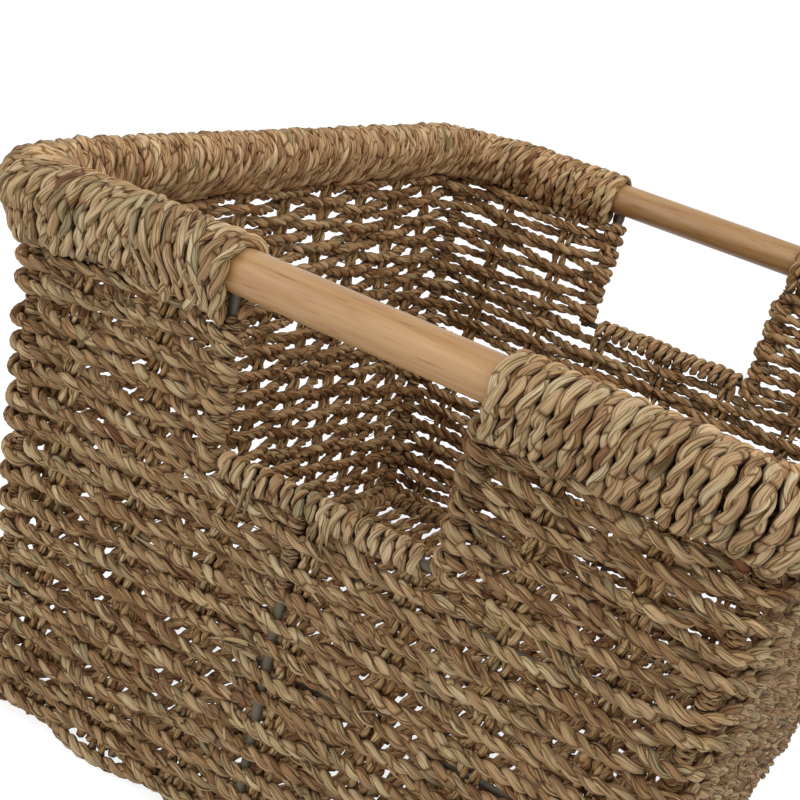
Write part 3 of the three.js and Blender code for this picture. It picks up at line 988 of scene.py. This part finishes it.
@dataclass
class WovenWalls(SubAssembly):
    """The rows of rope that pass before and behind the stakes."""

    row_pitch: float = mm(6.7)
    rope_radius: float = mm(3.3)
    floor_gap: float = mm(1)
    sway: float = mm(3.5)
    corner_bulge: float = mm(4.5)
    rows_per_piece: int = 7
    coil_radius: float = mm(4.1)
    coil_turns: float = 1.5
    coil_samples: int = 36
    unevenness: Pair = (mm(34), mm(1.35))
    samples_around: int = 1400
    sample_step: float = mm(1.1)
    bare_wire: float = mm(1.5)
    end_rise: float = mm(4)
    rise_reach: float = mm(11)
    bound_drop: float = mm(42)
    post_coil: float = mm(3.3)
    post_pitch: float = mm(3.2)
    post_samples: int = 12

    @property
    def lower_rows(self) -> Array:
        """The heights of the rows below the openings."""
        first = self.rope_radius + self.floor_gap
        return spaced(first, self.layout.seam_height - self.rope_radius, self.row_pitch)

    @property
    def upper_rows(self) -> Array:
        """The heights of the rows beside the openings."""
        first = self.lower_rows[-1] + self.row_pitch
        return spaced(first, self.layout.skirt_height - self.rope_radius, self.row_pitch)

    def sway_at(self, station: Array, stakes: Array, first_sign: int, height: float) -> Array:
        """How far a rope stands before or behind the stakes' line.

        Args:
            station: Distances along the rim, within the stakes' span.
            stakes: The stakes' stations in order.
            first_sign: 1 where the rope passes outside the first stake, and -1 inside.
            height: The row's height, because the corners bulge less towards the foot.

        Returns:
            Distances out from the wall's middle.
        """
        out = self.sway * first_sign * over_and_under(station, stakes)
        bulge = self.corner_bulge * height / self.layout.rail_height * self.layout.cornering(station)
        return out + bulge * np.clip(out / self.sway, 0.0, 1.0)

    def build(self) -> None:
        """Makes every row."""
        self.build_lower()
        top = self.layout.skirt_height - self.bare_wire
        for stretch in Stretch:
            self.build_upper(stretch)
            for side in Side:
                corner = f"{side}_{stretch}_corner"
                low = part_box(f"{corner}_upright")[0].z
                high = self.layout.skirt_height + self.rope_radius
                self.bind_post(corner, self.layout.corner_station(side, stretch), low, high)
                y = stretch.value * self.layout.opening_half
                opening = f"{side}_{stretch}_opening"
                self.bind_post(opening, self.layout.end_station(side, y), self.layout.sill_height, top)
        for side in Side:
            node = f"{side}_middle"
            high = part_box(f"{node}_upright")[1].z
            station = self.layout.end_station(side, middle(f"{node}_upright").y)
            self.bind_post(node, station, high - self.bound_drop, high)

    def build_lower(self) -> None:
        """Weaves the closed rows below the openings, in a few pieces."""
        stakes = np.array(self.layout.stake_stations())
        ring = np.concatenate([stakes, [stakes[0] + self.layout.around]])
        around = np.linspace(0.0, self.layout.around, self.samples_around, endpoint=False)
        station = around + stakes[0]
        rows = list(enumerate(self.lower_rows))
        parts = math.ceil(len(rows) / self.rows_per_piece)
        for part in range(parts):
            name = f"lower_weave_rows_{part + 1}"
            rng = seeded(name)
            piece = Piece(name)
            first = part * self.rows_per_piece
            for index, height in rows[first : first + self.rows_per_piece]:
                out = self.sway_at(station, ring, 1 if index % 2 == 0 else -1, height)
                level = height + wander(around, self.layout.around, *self.unevenness, rng)
                points, normals = self.layout.wall(station, out, np.maximum(level, self.lower_rows[0]))
                piece.add_rope(Line(points, normals, closed=True), WEAVER, rng)
            piece.finish(self.finish, Slot.SEAGRASS, "lower_weave")

    def build_upper(self, stretch: Stretch) -> None:
        """Weaves one rope to and fro between the openings, turning round the wires beside them.

        Args:
            stretch: Which of the two stretches of wall.
        """
        layout = self.layout
        start, end = layout.opening_span(stretch, layout.opening_half)
        between = [(index, s) for index, s in enumerate(layout.stake_stations()) if start < s < end]
        stakes = np.array([start, *[s for _, s in between], end])
        first_index = between[0][0] - 1
        run = np.linspace(start, end, round((end - start) / self.sample_step))
        name = f"{stretch}_upper_weave_rows"
        rng = seeded(name)
        stations, outs, heights = [], [], []
        rows = self.upper_rows
        for order, height in enumerate(rows):
            row = order + len(self.lower_rows)
            sign = 1 if (row + first_index) % 2 == 0 else -1
            out = self.sway_at(run, stakes, sign, height)
            level = height + wander(run - start, end - start, *self.unevenness, rng)
            if order + 1 == len(rows):
                level += self.end_rise * np.exp(-np.minimum(run - start, end - run) / self.rise_reach)
            forward = order % 2 == 0
            stations.append(run if forward else run[::-1])
            outs.append(out if forward else out[::-1])
            heights.append(level if forward else level[::-1])
            if order + 1 < len(rows):
                turn = np.linspace(0, 2 * math.pi * self.coil_turns, self.coil_samples)[1:-1]
                edge, way = (end, 1) if forward else (start, -1)
                edge_way = math.copysign(1.0, outs[-1][-1])
                stations.append(edge + way * self.coil_radius * np.sin(turn))
                outs.append(edge_way * self.coil_radius * np.cos(turn))
                rise = self.end_rise if order + 2 == len(rows) else 0.0
                heights.append(height + (rows[order + 1] + rise - height) * turn / turn[-1])
        points, _ = layout.wall(np.concatenate(stations), np.concatenate(outs), np.concatenate(heights))
        piece = Piece(name)
        piece.add_rope(Line(points, self.steadied(points)), WEAVER, rng, taper=True)
        piece.finish(self.finish, Slot.SEAGRASS, f"{stretch}_upper_weave")

    def bind_post(self, name: str, station: float, low: float, high: float) -> None:
        """Winds a thin cord round a standing wire, so that the rows grip it.

        Args:
            name: What the piece's name starts with.
            station: The wire's distance along the rim.
            low: Where the cord starts.
            high: Where it ends.
        """
        rng = seeded(f"{name}_binding")
        turns = (high - low) / self.post_pitch
        share = np.linspace(0, 1, round(turns * self.post_samples))
        turn = 2 * math.pi * turns * share
        still = np.zeros(len(share))
        centre, normal = self.layout.wall(still + station, still, low + (high - low) * share)
        along = unit(np.cross([0.0, 0.0, 1.0], normal))
        facing = normal * np.cos(turn)[:, None] + along * np.sin(turn)[:, None]
        piece = Piece(f"{name}_binding", PLAIN)
        piece.add_rope(Line(centre + facing * self.post_coil, facing), POST_CORD, rng, taper=True)
        piece.finish(self.finish, Slot.SEAGRASS)

    @staticmethod
    def steadied(points: Array) -> Array:
        """Reference directions that stay square to the rope where it turns round a wire."""
        tangent = unit(np.gradient(points, axis=0))
        up = np.array([0.0, 0.0, 1.0])
        return unit(up - tangent * (tangent @ up)[:, None])


@dataclass
class RimWrap(SubAssembly):
    """The rope wound round the rim's core, the handles' ends and the heads of the stakes."""

    top_radius: float = mm(11.9)
    skirt_out: float = mm(6.4)
    outer_skirt: float = mm(18.5)
    inner_skirt: float = mm(13.5)
    outer_reach: float = math.radians(38)
    inner_reach: float = math.radians(30)
    pitch: float = mm(6.7)
    corner_pitch: float = mm(5.5)
    corner_bulge: float = mm(6)
    hem_out: float = mm(0.5)
    hem_drop: float = mm(1.5)
    inner_bulge: float = 0.25
    end_play: float = mm(3.2)
    arc_samples: int = 24
    turn_samples: int = 40
    pitch_play: Pair = (0.88, 1.1)
    swell_play: Pair = (-0.03, 0.04)
    skirt_play: Pair = (0.92, 1.16)
    tie_blades: int = 6
    tie_samples: int = 30
    tie_end: Pair = (0.50, 0.62)
    tie_half_mm: Pair = (2.0, 2.7)
    tie_stray_mm: Pair = (-1, 1)
    tie_twist: float = 1.5
    tie_pitch: float = mm(6.5)
    tie_slant: float = mm(34)
    tie_lift: float = mm(2.6)

    def profile(self) -> Array:
        """One turn of the wrap, square to the rim: rows of out and up, from the outer skirt over the top."""
        turn = np.linspace(-self.outer_reach, math.pi + self.inner_reach, self.arc_samples)
        arc = np.stack([self.top_radius * np.cos(turn), self.top_radius * np.sin(turn)], axis=1)
        outer, inner = -self.outer_skirt, -self.inner_skirt
        before = [[self.hem_out, outer - self.hem_drop], [self.skirt_out, outer]]
        after = [[-self.skirt_out, inner], [-self.hem_out, inner - self.hem_drop]]
        return np.vstack([before, arc, after])

    def build(self) -> None:
        """Winds both stretches."""
        for stretch in Stretch:
            self.wind(stretch)

    def wind(self, stretch: Stretch) -> None:
        """Winds one stretch of rim from handle to handle.

        Args:
            stretch: Which stretch.
        """
        name = f"{stretch}_rim_wrap_rope"
        rng = seeded(name)
        start, end = self.layout.opening_span(stretch, self.layout.opening_half + self.end_play)
        progress = np.linspace(0, 1, self.turn_samples, endpoint=False)
        ring = self.ring(progress)
        points, normals = [], []
        here = start
        while here < end:
            pitch = self.pitch_at(here) * rng.uniform(*self.pitch_play)
            swell = 1 + rng.uniform(*self.swell_play)
            up = ring[:, 1] * np.where(ring[:, 1] > 0, swell, rng.uniform(*self.skirt_play))
            place, facing = self.lay(here + pitch * progress, ring[:, 0] * swell, up)
            points.append(place)
            normals.append(facing)
            here += pitch
        piece = Piece(name)
        piece.add_rope(Line(np.vstack(points), np.vstack(normals)), RIM_WEAVER, rng, taper=True)
        self.tie_off(piece, end, rng)
        piece.finish(self.finish, Slot.RIM_ROPE, f"{stretch}_rim_wrap")

    def ring(self, progress: Array) -> Array:
        """Rows of out and up along one turn, at shares of its length."""
        profile = self.profile()
        sizes = np.linalg.norm(np.roll(profile, -1, axis=0) - profile, axis=1)
        at = np.concatenate([[0.0], np.cumsum(sizes)]) / sizes.sum()
        return interpolated(progress, at, np.vstack([profile, profile[:1]]))

    def lay(self, station: Array, out: Array, up: Array) -> tuple[Array, Array]:
        """Points beside the rim's line, and the directions that face away from its core.

        Args:
            station: Distances along the rim.
            out: Distances outwards from the rim's line.
            up: Distances above it.

        Returns:
            The points and the facing directions.
        """
        rim, outward = self.layout.rim_line(station)
        share = np.clip(out / self.top_radius + self.inner_bulge, 0.0, 1.0)
        bulged = out + self.corner_bulge * self.layout.cornering(station) * share
        place = rim + outward * (bulged + self.layout.lean * np.minimum(up, 0.0))[:, None]
        place[:, 2] += up
        facing = outward * bulged[:, None]
        facing[:, 2] += np.maximum(up, 0.0)
        return place, unit(facing)

    def tie_off(self, piece: Piece, end: float, rng: Random) -> None:
        """Lays flat blades slantwise over the last turns, where the wrap's end is worked back.

        Args:
            piece: The piece that the blades join.
            end: The station of the last turn.
            rng: The piece's random numbers.
        """
        for index in range(self.tie_blades):
            share = np.linspace(0.02, rng.uniform(*self.tie_end), self.tie_samples)
            ring = self.ring(share) * (1 + self.tie_lift / self.top_radius)
            stray = mm(rng.uniform(*self.tie_stray_mm))
            station = end - self.tie_pitch * index - self.tie_slant * share + stray
            points, _ = self.lay(station, ring[:, 0], np.maximum(ring[:, 1], -self.outer_skirt))
            along = np.linspace(0, 1, len(share))
            radii = blade(along, rng.uniform(*self.tie_half_mm), fullness=4.2, end=1.02, tip=0.02)
            piece.add_strand(points, radii, rng.uniform(0, WHOLE_TURN) + self.tie_twist * along, rng)

    def pitch_at(self, station: float) -> float:
        """The rope's pitch along the rim, closer together round a corner."""
        layout = self.layout
        place = station % (2 * layout.quarter)
        corners = (layout.straight_y, 2 * layout.quarter - layout.straight_y - layout.corner_arc)
        if any(first < place < first + layout.corner_arc for first in corners):
            return self.corner_pitch
        return self.pitch


@dataclass
class SillWraps(SubAssembly):
    """The rope wound round each sill wire."""

    radius: float = mm(4.7)
    pitch: float = mm(6.3)
    samples_per_turn: int = 18
    unevenness: Pair = (0.12, 0.05)
    tail_places: tuple[float, ...] = (mm(-34), mm(4), mm(8))
    blades_per_tail: int = 4
    tail_samples: int = 12
    tail_length_mm: Pair = (9, 19)
    tail_half_mm: Pair = (0.8, 1.3)
    tail_root_mm: Pair = (-2.4, 2.4)
    tail_stray_mm: Pair = (-4, 4)
    tail_rise: float = mm(1.5)
    tail_lift: float = mm(1.2)
    tail_twist: Pair = (-3, 3)

    def build(self) -> None:
        """Winds both sills."""
        for side in Side:
            node = f"{side}_sill_wrap"
            low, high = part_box(node)
            rng = seeded(node)
            length = high.y - low.y - 2 * self.pitch / 3
            turns = length / self.pitch
            share = np.linspace(0, 1, round(turns * self.samples_per_turn))
            turn = 2 * math.pi * turns * share
            centre = (low + high) / 2
            uneven = 1 + wander(share, 1.0, *self.unevenness, rng)
            out = np.stack([np.cos(turn), np.zeros(len(turn)), np.sin(turn)], axis=1)
            points = np.array(centre) + out * (self.radius * uneven)[:, None]
            points[:, 1] += length * (share - 0.5) * side.value
            piece = Piece(f"{node}_rope")
            piece.add_rope(Line(points, out), SILL_WEAVER, rng, taper=True)
            for place in self.tail_places:
                self.hang_tail(piece, centre + Vector((0, place * side.value, 0)), side, rng)
            piece.finish(self.finish, Slot.RIM_ROPE, node)

    def hang_tail(self, piece: Piece, start: Vector, side: Side, rng: Random) -> None:
        """Adds a frayed rope end that hangs from the wrap's outer side.

        Args:
            piece: The piece that the tail joins.
            start: The sill's middle above the tail.
            side: Which end wall.
            rng: The piece's random numbers.
        """
        share = np.linspace(0, 1, self.tail_samples)
        for _ in range(self.blades_per_tail):
            length = mm(rng.uniform(*self.tail_length_mm))
            out = side.value * (self.radius + self.tail_lift * np.sin(share * math.pi * 0.8))
            aside = mm(rng.uniform(*self.tail_root_mm)) + mm(rng.uniform(*self.tail_stray_mm)) * share**1.5
            points = np.array(start) + np.column_stack([out, aside, self.tail_rise - length * share])
            radii = blade(share, rng.uniform(*self.tail_half_mm), fullness=0, end=1.03, tip=0.03)
            tilts = rng.uniform(0, WHOLE_TURN) + share * rng.uniform(*self.tail_twist)
            piece.add_strand(points, radii, tilts, rng)


@dataclass
class Stakes(SubAssembly):
    """The doubled ropes that stand in the walls and run under the base."""

    cord_gap: float = mm(2.7)
    bend_radius: float = mm(8)
    half_thickness: float = mm(2.8)
    floor_gap: float = mm(1)
    samples: int = 40
    bend_samples: int = 7
    run_across: float = mm(400)
    standing_unevenness: Pair = (mm(50), mm(0.3))
    through_unevenness: Pair = (mm(60), mm(0.3))

    def build(self) -> None:
        """Makes each stake as two cords side by side."""
        for node, station in self.layout.standing_stakes().items():
            self.standing(node, station)
        for index in STAKES_ALONG:
            self.through(f"through_stake_{index}")

    def standing(self, node: str, station: float) -> None:
        """A stake that stands in one wall.

        Args:
            node: The frame's node.
            station: The stake's distance along the rim.
        """
        low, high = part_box(node)
        rng = seeded(node)
        piece = Piece(f"{node}_cords", PLAIN)
        height = np.linspace(low.z + self.floor_gap, high.z, self.samples)
        for way in (-1, 1):
            spread = way * self.cord_gap + wander(height, high.z, *self.standing_unevenness, rng)
            points, normals = self.layout.wall(station + spread, 0 * height, height)
            piece.add_rope(Line(points, normals), STAKE_CORD, rng)
        piece.finish(self.finish, Slot.STAKE_ROPE, node)

    def through(self, node: str) -> None:
        """A stake that runs down one long wall, under the base and up the other.

        Args:
            node: The frame's node.
        """
        low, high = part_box(node)
        rng = seeded(node)
        run = low.z + self.half_thickness
        top = self.layout.half_width - self.layout.inset(high.z)
        foot = self.layout.half_width - self.layout.inset(run)
        path = self.rounded(np.array([(-top, high.z), (-foot, run), (foot, run), (top, high.z)]))
        piece = Piece(f"{node}_cords", PLAIN)
        for way in (-1, 1):
            uneven = wander(path[:, 0], self.run_across, *self.through_unevenness, rng)
            points = np.column_stack([middle(node).x + way * self.cord_gap + uneven, path])
            normals = np.tile([1.0, 0.0, 0.0], (len(path), 1))
            piece.add_rope(Line(points, normals), STAKE_CORD, rng)
        piece.finish(self.finish, Slot.STAKE_ROPE, node)

    def rounded(self, corners: Array) -> Array:
        """A flat line through corners, with the inner corners rounded.

        Args:
            corners: The line's corners in rows.

        Returns:
            Points in rows.
        """
        points = [corners[0]]
        for before, corner, after in zip(corners, corners[1:], corners[2:]):
            back, on = unit(np.array([before, after]) - corner) * self.bend_radius
            for share in np.linspace(0, 1, self.bend_samples):
                points.append(corner + back * (1 - share) ** 2 + on * share**2)
        return np.array([*points, corners[-1]])


@dataclass
class WovenBase(SubAssembly):
    """The rows of rope woven across the base, over and under the stakes' runs."""

    row_pitch: float = mm(6.3)
    sway: float = mm(3.6)
    binding_pitch: float = mm(7.2)
    binding_radius: float = mm(4.2)
    binding_samples: int = 14
    edge_margin: float = mm(5)
    lowest: float = mm(4.2)
    samples: int = 240
    unevenness: Pair = (mm(80), mm(0.4))

    def build(self) -> None:
        """Weaves the base to and fro as one rope."""
        low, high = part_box("base_weave")
        rng = seeded("base_weave")
        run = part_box("through_stake_4")[0].z + Stakes.half_thickness
        stakes = [middle(f"through_stake_{index}").x for index in STAKES_ALONG]
        edge = high.x - self.edge_margin
        across = np.linspace(-edge, edge, self.samples)
        shape = over_and_under(across, np.array([-edge, *stakes, edge]))
        piece = Piece("base_weave_rows", PLAIN)
        for row, y in enumerate(spaced(low.y + self.edge_margin, high.y - self.edge_margin, self.row_pitch)):
            sign = 1 if row % 2 == 0 else -1
            aside = y + wander(across + edge, 2 * edge, *self.unevenness, rng)
            up = np.maximum(run + self.sway * sign * shape, self.lowest)
            normals = np.tile([0.0, 0.0, 1.0], (len(across), 1))
            piece.add_rope(Line(np.column_stack([across, aside, up]), normals), BASE_WEAVER, rng, taper=True)
        piece.finish(self.finish, Slot.SEAGRASS, "base_weave")
        self.bind_ring()

    def bind_ring(self) -> None:
        """Winds a rope round the wire at the base's edge, where the base's rows end."""
        count = round(self.layout.around / self.binding_pitch)
        share = np.linspace(0, 1, count * self.binding_samples, endpoint=False)
        wire, outward = self.layout.base_ring(share)
        turn = 2 * math.pi * count * share
        facing = outward * np.cos(turn)[:, None]
        facing[:, 2] = np.sin(turn)
        points = wire + facing * self.binding_radius
        points[:, 2] = np.maximum(points[:, 2], self.lowest)
        piece = Piece("base_ring_binding", PLAIN)
        piece.add_rope(Line(points, facing, closed=True), BASE_WEAVER, seeded(piece.name))
        piece.finish(self.finish, Slot.SEAGRASS)


@dataclass
class Handles(SubAssembly):
    """The two turned pine handles."""

    edge_round: float = mm(1.2)
    segments: int = 72

    def build(self) -> None:
        """Turns both handles."""
        for side in Side:
            node = f"{side}_handle"
            low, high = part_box(node)
            centre = (low + high) / 2
            length = high.y - low.y
            radius = (high.z - low.z) / 2
            bar = bmesh.new()
            size = {"radius1": radius, "radius2": radius, "depth": length}
            bmesh.ops.create_cone(bar, cap_ends=True, cap_tris=False, segments=self.segments, **size)
            rims = [edge for edge in bar.edges if len({round(v.co.z, 6) for v in edge.verts}) == 1]
            rounding = {"offset": self.edge_round, "offset_type": "OFFSET", "segments": 3, "profile": 0.5}
            bmesh.ops.bevel(bar, geom=rims, affect="EDGES", material=-1, **rounding)
            turn = Matrix.Rotation(math.pi / 2, 4, "X")
            bmesh.ops.transform(bar, matrix=Matrix.Translation(centre) @ turn, verts=bar.verts)
            bmesh.ops.recalc_face_normals(bar, faces=bar.faces)
            for face in bar.faces:
                face.smooth = len(face.verts) == 4
            data = bpy.data.meshes.new(node)
            bar.to_mesh(data)
            bar.free()
            place_piece(f"{node}_bar", data, self.finish, (node,))


@dataclass
class RimCores(SubAssembly):
    """The bundled seagrass that the wrap is wound on between the handles."""

    radius: float = mm(9.4)
    sides: int = 20
    ridge_share: float = 0.12
    end_gap: float = mm(0.5)
    samples: int = 150

    def build(self) -> None:
        """Makes both cores."""
        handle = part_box("right_handle")[1].y
        for stretch in Stretch:
            span = self.layout.opening_span(stretch, handle + self.end_gap)
            points, _ = self.layout.rim_line(np.linspace(*span, self.samples))
            piece = Piece(f"{stretch}_rim_core_bundle", Section(self.sides, self.ridge_share))
            piece.add_tube(points, self.radius)
            piece.finish(self.finish, Slot.RIM_CORE, f"{stretch}_rim_core")


@dataclass
class WireFrame(SubAssembly):
    """The welded wire frame inside the walls and the rim."""

    sides: int = 14
    upright_samples: int = 14
    level_samples: int = 12
    rail_samples: int = 120
    ring_samples: int = 200

    def build(self) -> None:
        """Makes each wire."""
        for side in Side:
            for stretch in Stretch:
                self.upright(f"{side}_{stretch}_handle_upright", side)
                station = self.layout.corner_station(side, stretch)
                self.standing(f"{side}_{stretch}_corner_upright", station)
            self.upright(f"{side}_middle_upright", side)
            self.level(f"{side}_sill_wire")
            self.level(f"{side}_base_cross_wire")
        for stretch in Stretch:
            self.rail(stretch)
        ring, _ = self.layout.base_ring(np.linspace(0, 1, self.ring_samples, endpoint=False))
        self.tube("base_ring_wire", ring, closed=True)

    def tube(self, node: str, points: Array, closed: bool = False) -> None:
        """A wire along a line, standing for one node."""
        piece = Piece(f"{node}_bar", Section(self.sides, ridge_share=0.0))
        piece.add_tube(points, self.layout.wire_radius, closed)
        piece.finish(self.finish, Slot.FRAME_WIRE, node)

    def upright(self, node: str, side: Side) -> None:
        """A wire that stands in an end wall."""
        self.standing(node, self.layout.end_station(side, middle(node).y))

    def standing(self, node: str, station: float) -> None:
        """A wire in the wall's middle, as high as its node.

        Args:
            node: The frame's node.
            station: The wire's distance along the rim.
        """
        low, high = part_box(node)
        height = np.linspace(low.z, high.z, self.upright_samples)
        points, _ = self.layout.wall(station + 0 * height, 0 * height, height)
        self.tube(node, points)

    def level(self, node: str) -> None:
        """A straight wire along Y."""
        low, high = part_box(node)
        at = middle(node)
        places = np.linspace(low.y, high.y, self.level_samples)
        self.tube(node, np.array([(at.x, y, at.z) for y in places]))

    def rail(self, stretch: Stretch) -> None:
        """The top rail of one stretch of rim."""
        node = f"{stretch}_top_rail"
        low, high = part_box(node)
        span = self.layout.opening_span(stretch, min(abs(low.y), abs(high.y)))
        points, _ = self.layout.rim_line(np.linspace(*span, self.rail_samples))
        self.tube(node, points)


@dataclass
class LooseEnds(SubAssembly):
    """Stray fibres and blade ends that stand out of the rope, as hand-twisted seagrass always has."""

    hairs: int = 260
    blades: int = 190
    surface: float = mm(5.6)
    hair: Section = Section(6, ridge_share=0.2)
    flat: Section = Section(6, ridge_share=0.3, flatness=0.22)
    lowest: float = mm(12)
    below_rail: float = mm(14)
    beside_opening: float = mm(22)
    outside_share: float = 0.7
    samples: int = 9
    lift_bend: float = 1.4
    droop_bend: float = 1.6
    droop_mm: Pair = (-6, 4)
    sunk_mm: Pair = (0.6, 1.6)
    twist: Pair = (-2.5, 2.5)

    def build(self) -> None:
        """Scatters fine hairs and flat blade ends over the walls."""
        self.scatter("loose_hairs", self.hairs, self.hair, (0.22, 0.42), (9, 26), (1.0, 6.0))
        self.scatter("loose_blades", self.blades, self.flat, (0.9, 1.9), (7, 20), (0.8, 3.6))

    def scatter(
        self, name: str, count: int, section: Section, radius_mm: Pair, length_mm: Pair, lift_mm: Pair
    ) -> None:
        """Scatters one kind of loose end.

        Args:
            name: The piece's name.
            count: How many there are.
            section: Their outline.
            radius_mm: Least and greatest half width.
            length_mm: Least and greatest length.
            lift_mm: Least and greatest height of the tip off the rope.
        """
        rng = seeded(name)
        layout = self.layout
        piece = Piece(name, section)
        share = np.linspace(0, 1, self.samples)
        while len(piece.strands) < count:
            station = rng.uniform(0, layout.around)
            height = rng.uniform(self.lowest, layout.rail_height - self.below_rail)
            across = abs((station + layout.quarter) % (2 * layout.quarter) - layout.quarter)
            if height > layout.seam_height and across < layout.opening_half + self.beside_opening:
                continue
            side = 1 if rng.random() < self.outside_share else -1
            way = 1 if rng.random() < 0.5 else -1
            length = mm(rng.uniform(*length_mm))
            lift = mm(rng.uniform(*lift_mm)) * share**self.lift_bend
            droop = mm(rng.uniform(*self.droop_mm)) * share**self.droop_bend
            root = self.surface - mm(rng.uniform(*self.sunk_mm))
            points, _ = layout.wall(station + way * length * share, side * (root + lift), height + droop)
            radii = blade(share, rng.uniform(*radius_mm), fullness=0, end=1.04, tip=0.03)
            tilts = rng.uniform(0, 2 * math.pi) + share * rng.uniform(*self.twist)
            piece.add_strand(points, radii, tilts, rng)
        piece.finish(self.finish, Slot.SEAGRASS)


@dataclass(frozen=True)
class Lamp:
    """A square soft lamp: where it hangs, what it points at, its side and its power in watts."""

    name: str
    place: tuple[float, float, float]
    target: tuple[float, float, float]
    size: float
    power: float

    def build(self) -> None:
        """Hangs the lamp."""
        data = bpy.data.lights.new(self.name, "AREA")
        data.shape = "SQUARE"
        data.size = self.size
        data.energy = self.power
        lamp = bpy.data.objects.new(self.name, data)
        lamp.location = self.place
        lamp.rotation_mode = "QUATERNION"
        lamp.rotation_quaternion = (Vector(self.target) - Vector(self.place)).to_track_quat("-Z", "Y")
        link(lamp)


@dataclass
class Studio:
    """The pale floor, the soft light and the camera at the photograph's angle."""

    layout: Layout
    lens_px: float = 1460.0
    frame_px: float = 800.0
    sensor: float = 36.0
    stand_left: float = mm(695.7)
    stand_front: float = mm(247.8)
    stand_above_rail: float = mm(165.1)
    heading_deg: float = 25.11
    dip_deg: float = 19.58
    roll_deg: float = 15.36
    floor_radius: float = 40.0
    floor_glow_share: float = 0.62
    floor_glow: float = 1.35
    sky: float = 0.65
    key: Lamp = Lamp("key", (-0.5, -0.7, 1.35), (0.0, 0.0, 0.2), 1.1, 7.5)
    fill: Lamp = Lamp("fill", (-1.25, 0.8, 0.8), (0.0, 0.0, 0.15), 1.2, 7.2)

    def build(self) -> None:
        """Makes the camera, the floor, the lamps and the world."""
        self.camera()
        self.floor()
        self.world()
        self.key.build()
        self.fill.build()
        bpy.context.scene.view_settings.view_transform = "Standard"

    def camera(self) -> None:
        """Stands the camera where the photograph was taken from."""
        data = bpy.data.cameras.new("camera")
        data.sensor_width = self.sensor
        data.lens = self.sensor * self.lens_px / self.frame_px
        data.clip_start, data.clip_end = 0.02, 30.0
        camera = bpy.data.objects.new("camera", data)
        heading, dip, roll = (math.radians(v) for v in (self.heading_deg, self.dip_deg, self.roll_deg))
        right = Vector((math.sin(heading), -math.cos(heading), 0.0))
        level = Vector((math.cos(heading), math.sin(heading), 0.0))
        forward = level * math.cos(dip) - Vector((0.0, 0.0, math.sin(dip)))
        up = right.cross(forward)
        across = math.cos(roll) * right + math.sin(roll) * up
        above = math.cos(roll) * up - math.sin(roll) * right
        place = Vector((-self.stand_left, -self.stand_front, self.layout.rail_height + self.stand_above_rail))
        matrix = Matrix((across, above, -forward)).transposed().to_4x4()
        camera.matrix_world = Matrix.Translation(place) @ matrix
        link(camera)
        bpy.context.scene.camera = camera

    @staticmethod
    def seen_directly(tree: Tree) -> Socket:
        """One for what the camera, a gloss or a clear surface sees, and zero for light."""
        rays = add_node(tree, "ShaderNodeLightPath").outputs
        seen = rays["Is Camera Ray"]
        most = {"operation": "MAXIMUM"}
        for name in ("Is Glossy Ray", "Is Transmission Ray"):
            seen = add_node(tree, "ShaderNodeMath", most, i0=seen, i1=rays[name]).outputs["Value"]
        return seen

    def floor(self) -> None:
        """A wide pale floor that shows white and keeps the basket's shadow."""
        mesh = bmesh.new()
        bmesh.ops.create_circle(mesh, cap_ends=True, segments=64, radius=self.floor_radius)
        data = bpy.data.meshes.new("floor")
        mesh.to_mesh(data)
        mesh.free()
        material = bpy.data.materials.new("pale_floor")
        material.use_nodes = True
        tree = material.node_tree
        tree.nodes.clear()
        matt = add_node(tree, "ShaderNodeBsdfDiffuse", Color=linear("#ececec"))
        glow = add_node(tree, "ShaderNodeEmission", Color=WHITE, Strength=self.floor_glow)
        seen = {"i0": self.seen_directly(tree), "i1": self.floor_glow_share}
        share = add_node(tree, "ShaderNodeMath", {"operation": "MULTIPLY"}, **seen).outputs["Value"]
        ends = {"i1": matt.outputs["BSDF"], "i2": glow.outputs["Emission"]}
        mixed = add_node(tree, "ShaderNodeMixShader", Fac=share, **ends)
        add_node(tree, "ShaderNodeOutputMaterial", Surface=mixed.outputs["Shader"])
        data.materials.append(material)
        floor = bpy.data.objects.new("floor", data)
        link(floor)

    def world(self) -> None:
        """Even light all round, and white where it is seen."""
        world = bpy.data.worlds.new("studio")
        bpy.context.scene.world = world
        world.use_nodes = True
        tree = world.node_tree
        tree.nodes.clear()
        light = add_node(tree, "ShaderNodeBackground", Color=WHITE, Strength=self.sky)
        white = add_node(tree, "ShaderNodeBackground", Color=WHITE, Strength=1.0)
        ends = {"i1": light.outputs["Background"], "i2": white.outputs["Background"]}
        mixed = add_node(tree, "ShaderNodeMixShader", Fac=self.seen_directly(tree), **ends)
        add_node(tree, "ShaderNodeOutputWorld", Surface=mixed.outputs["Shader"])


def main() -> None:
    """Builds the basket and its studio."""
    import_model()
    layout = Layout()
    weave, rim, stake, core = (finish.build(layout) for finish in SEAGRASSES)
    Studio(layout).build()
    WovenWalls(layout, weave).build()
    RimWrap(layout, rim).build()
    SillWraps(layout, rim).build()
    Stakes(layout, stake).build()
    WovenBase(layout, weave).build()
    Handles(layout, PineFinish().build()).build()
    RimCores(layout, core).build()
    WireFrame(layout, EnamelledWireFinish().build()).build()
    LooseEnds(layout, weave).build()


if __name__ == "__main__":
    main()
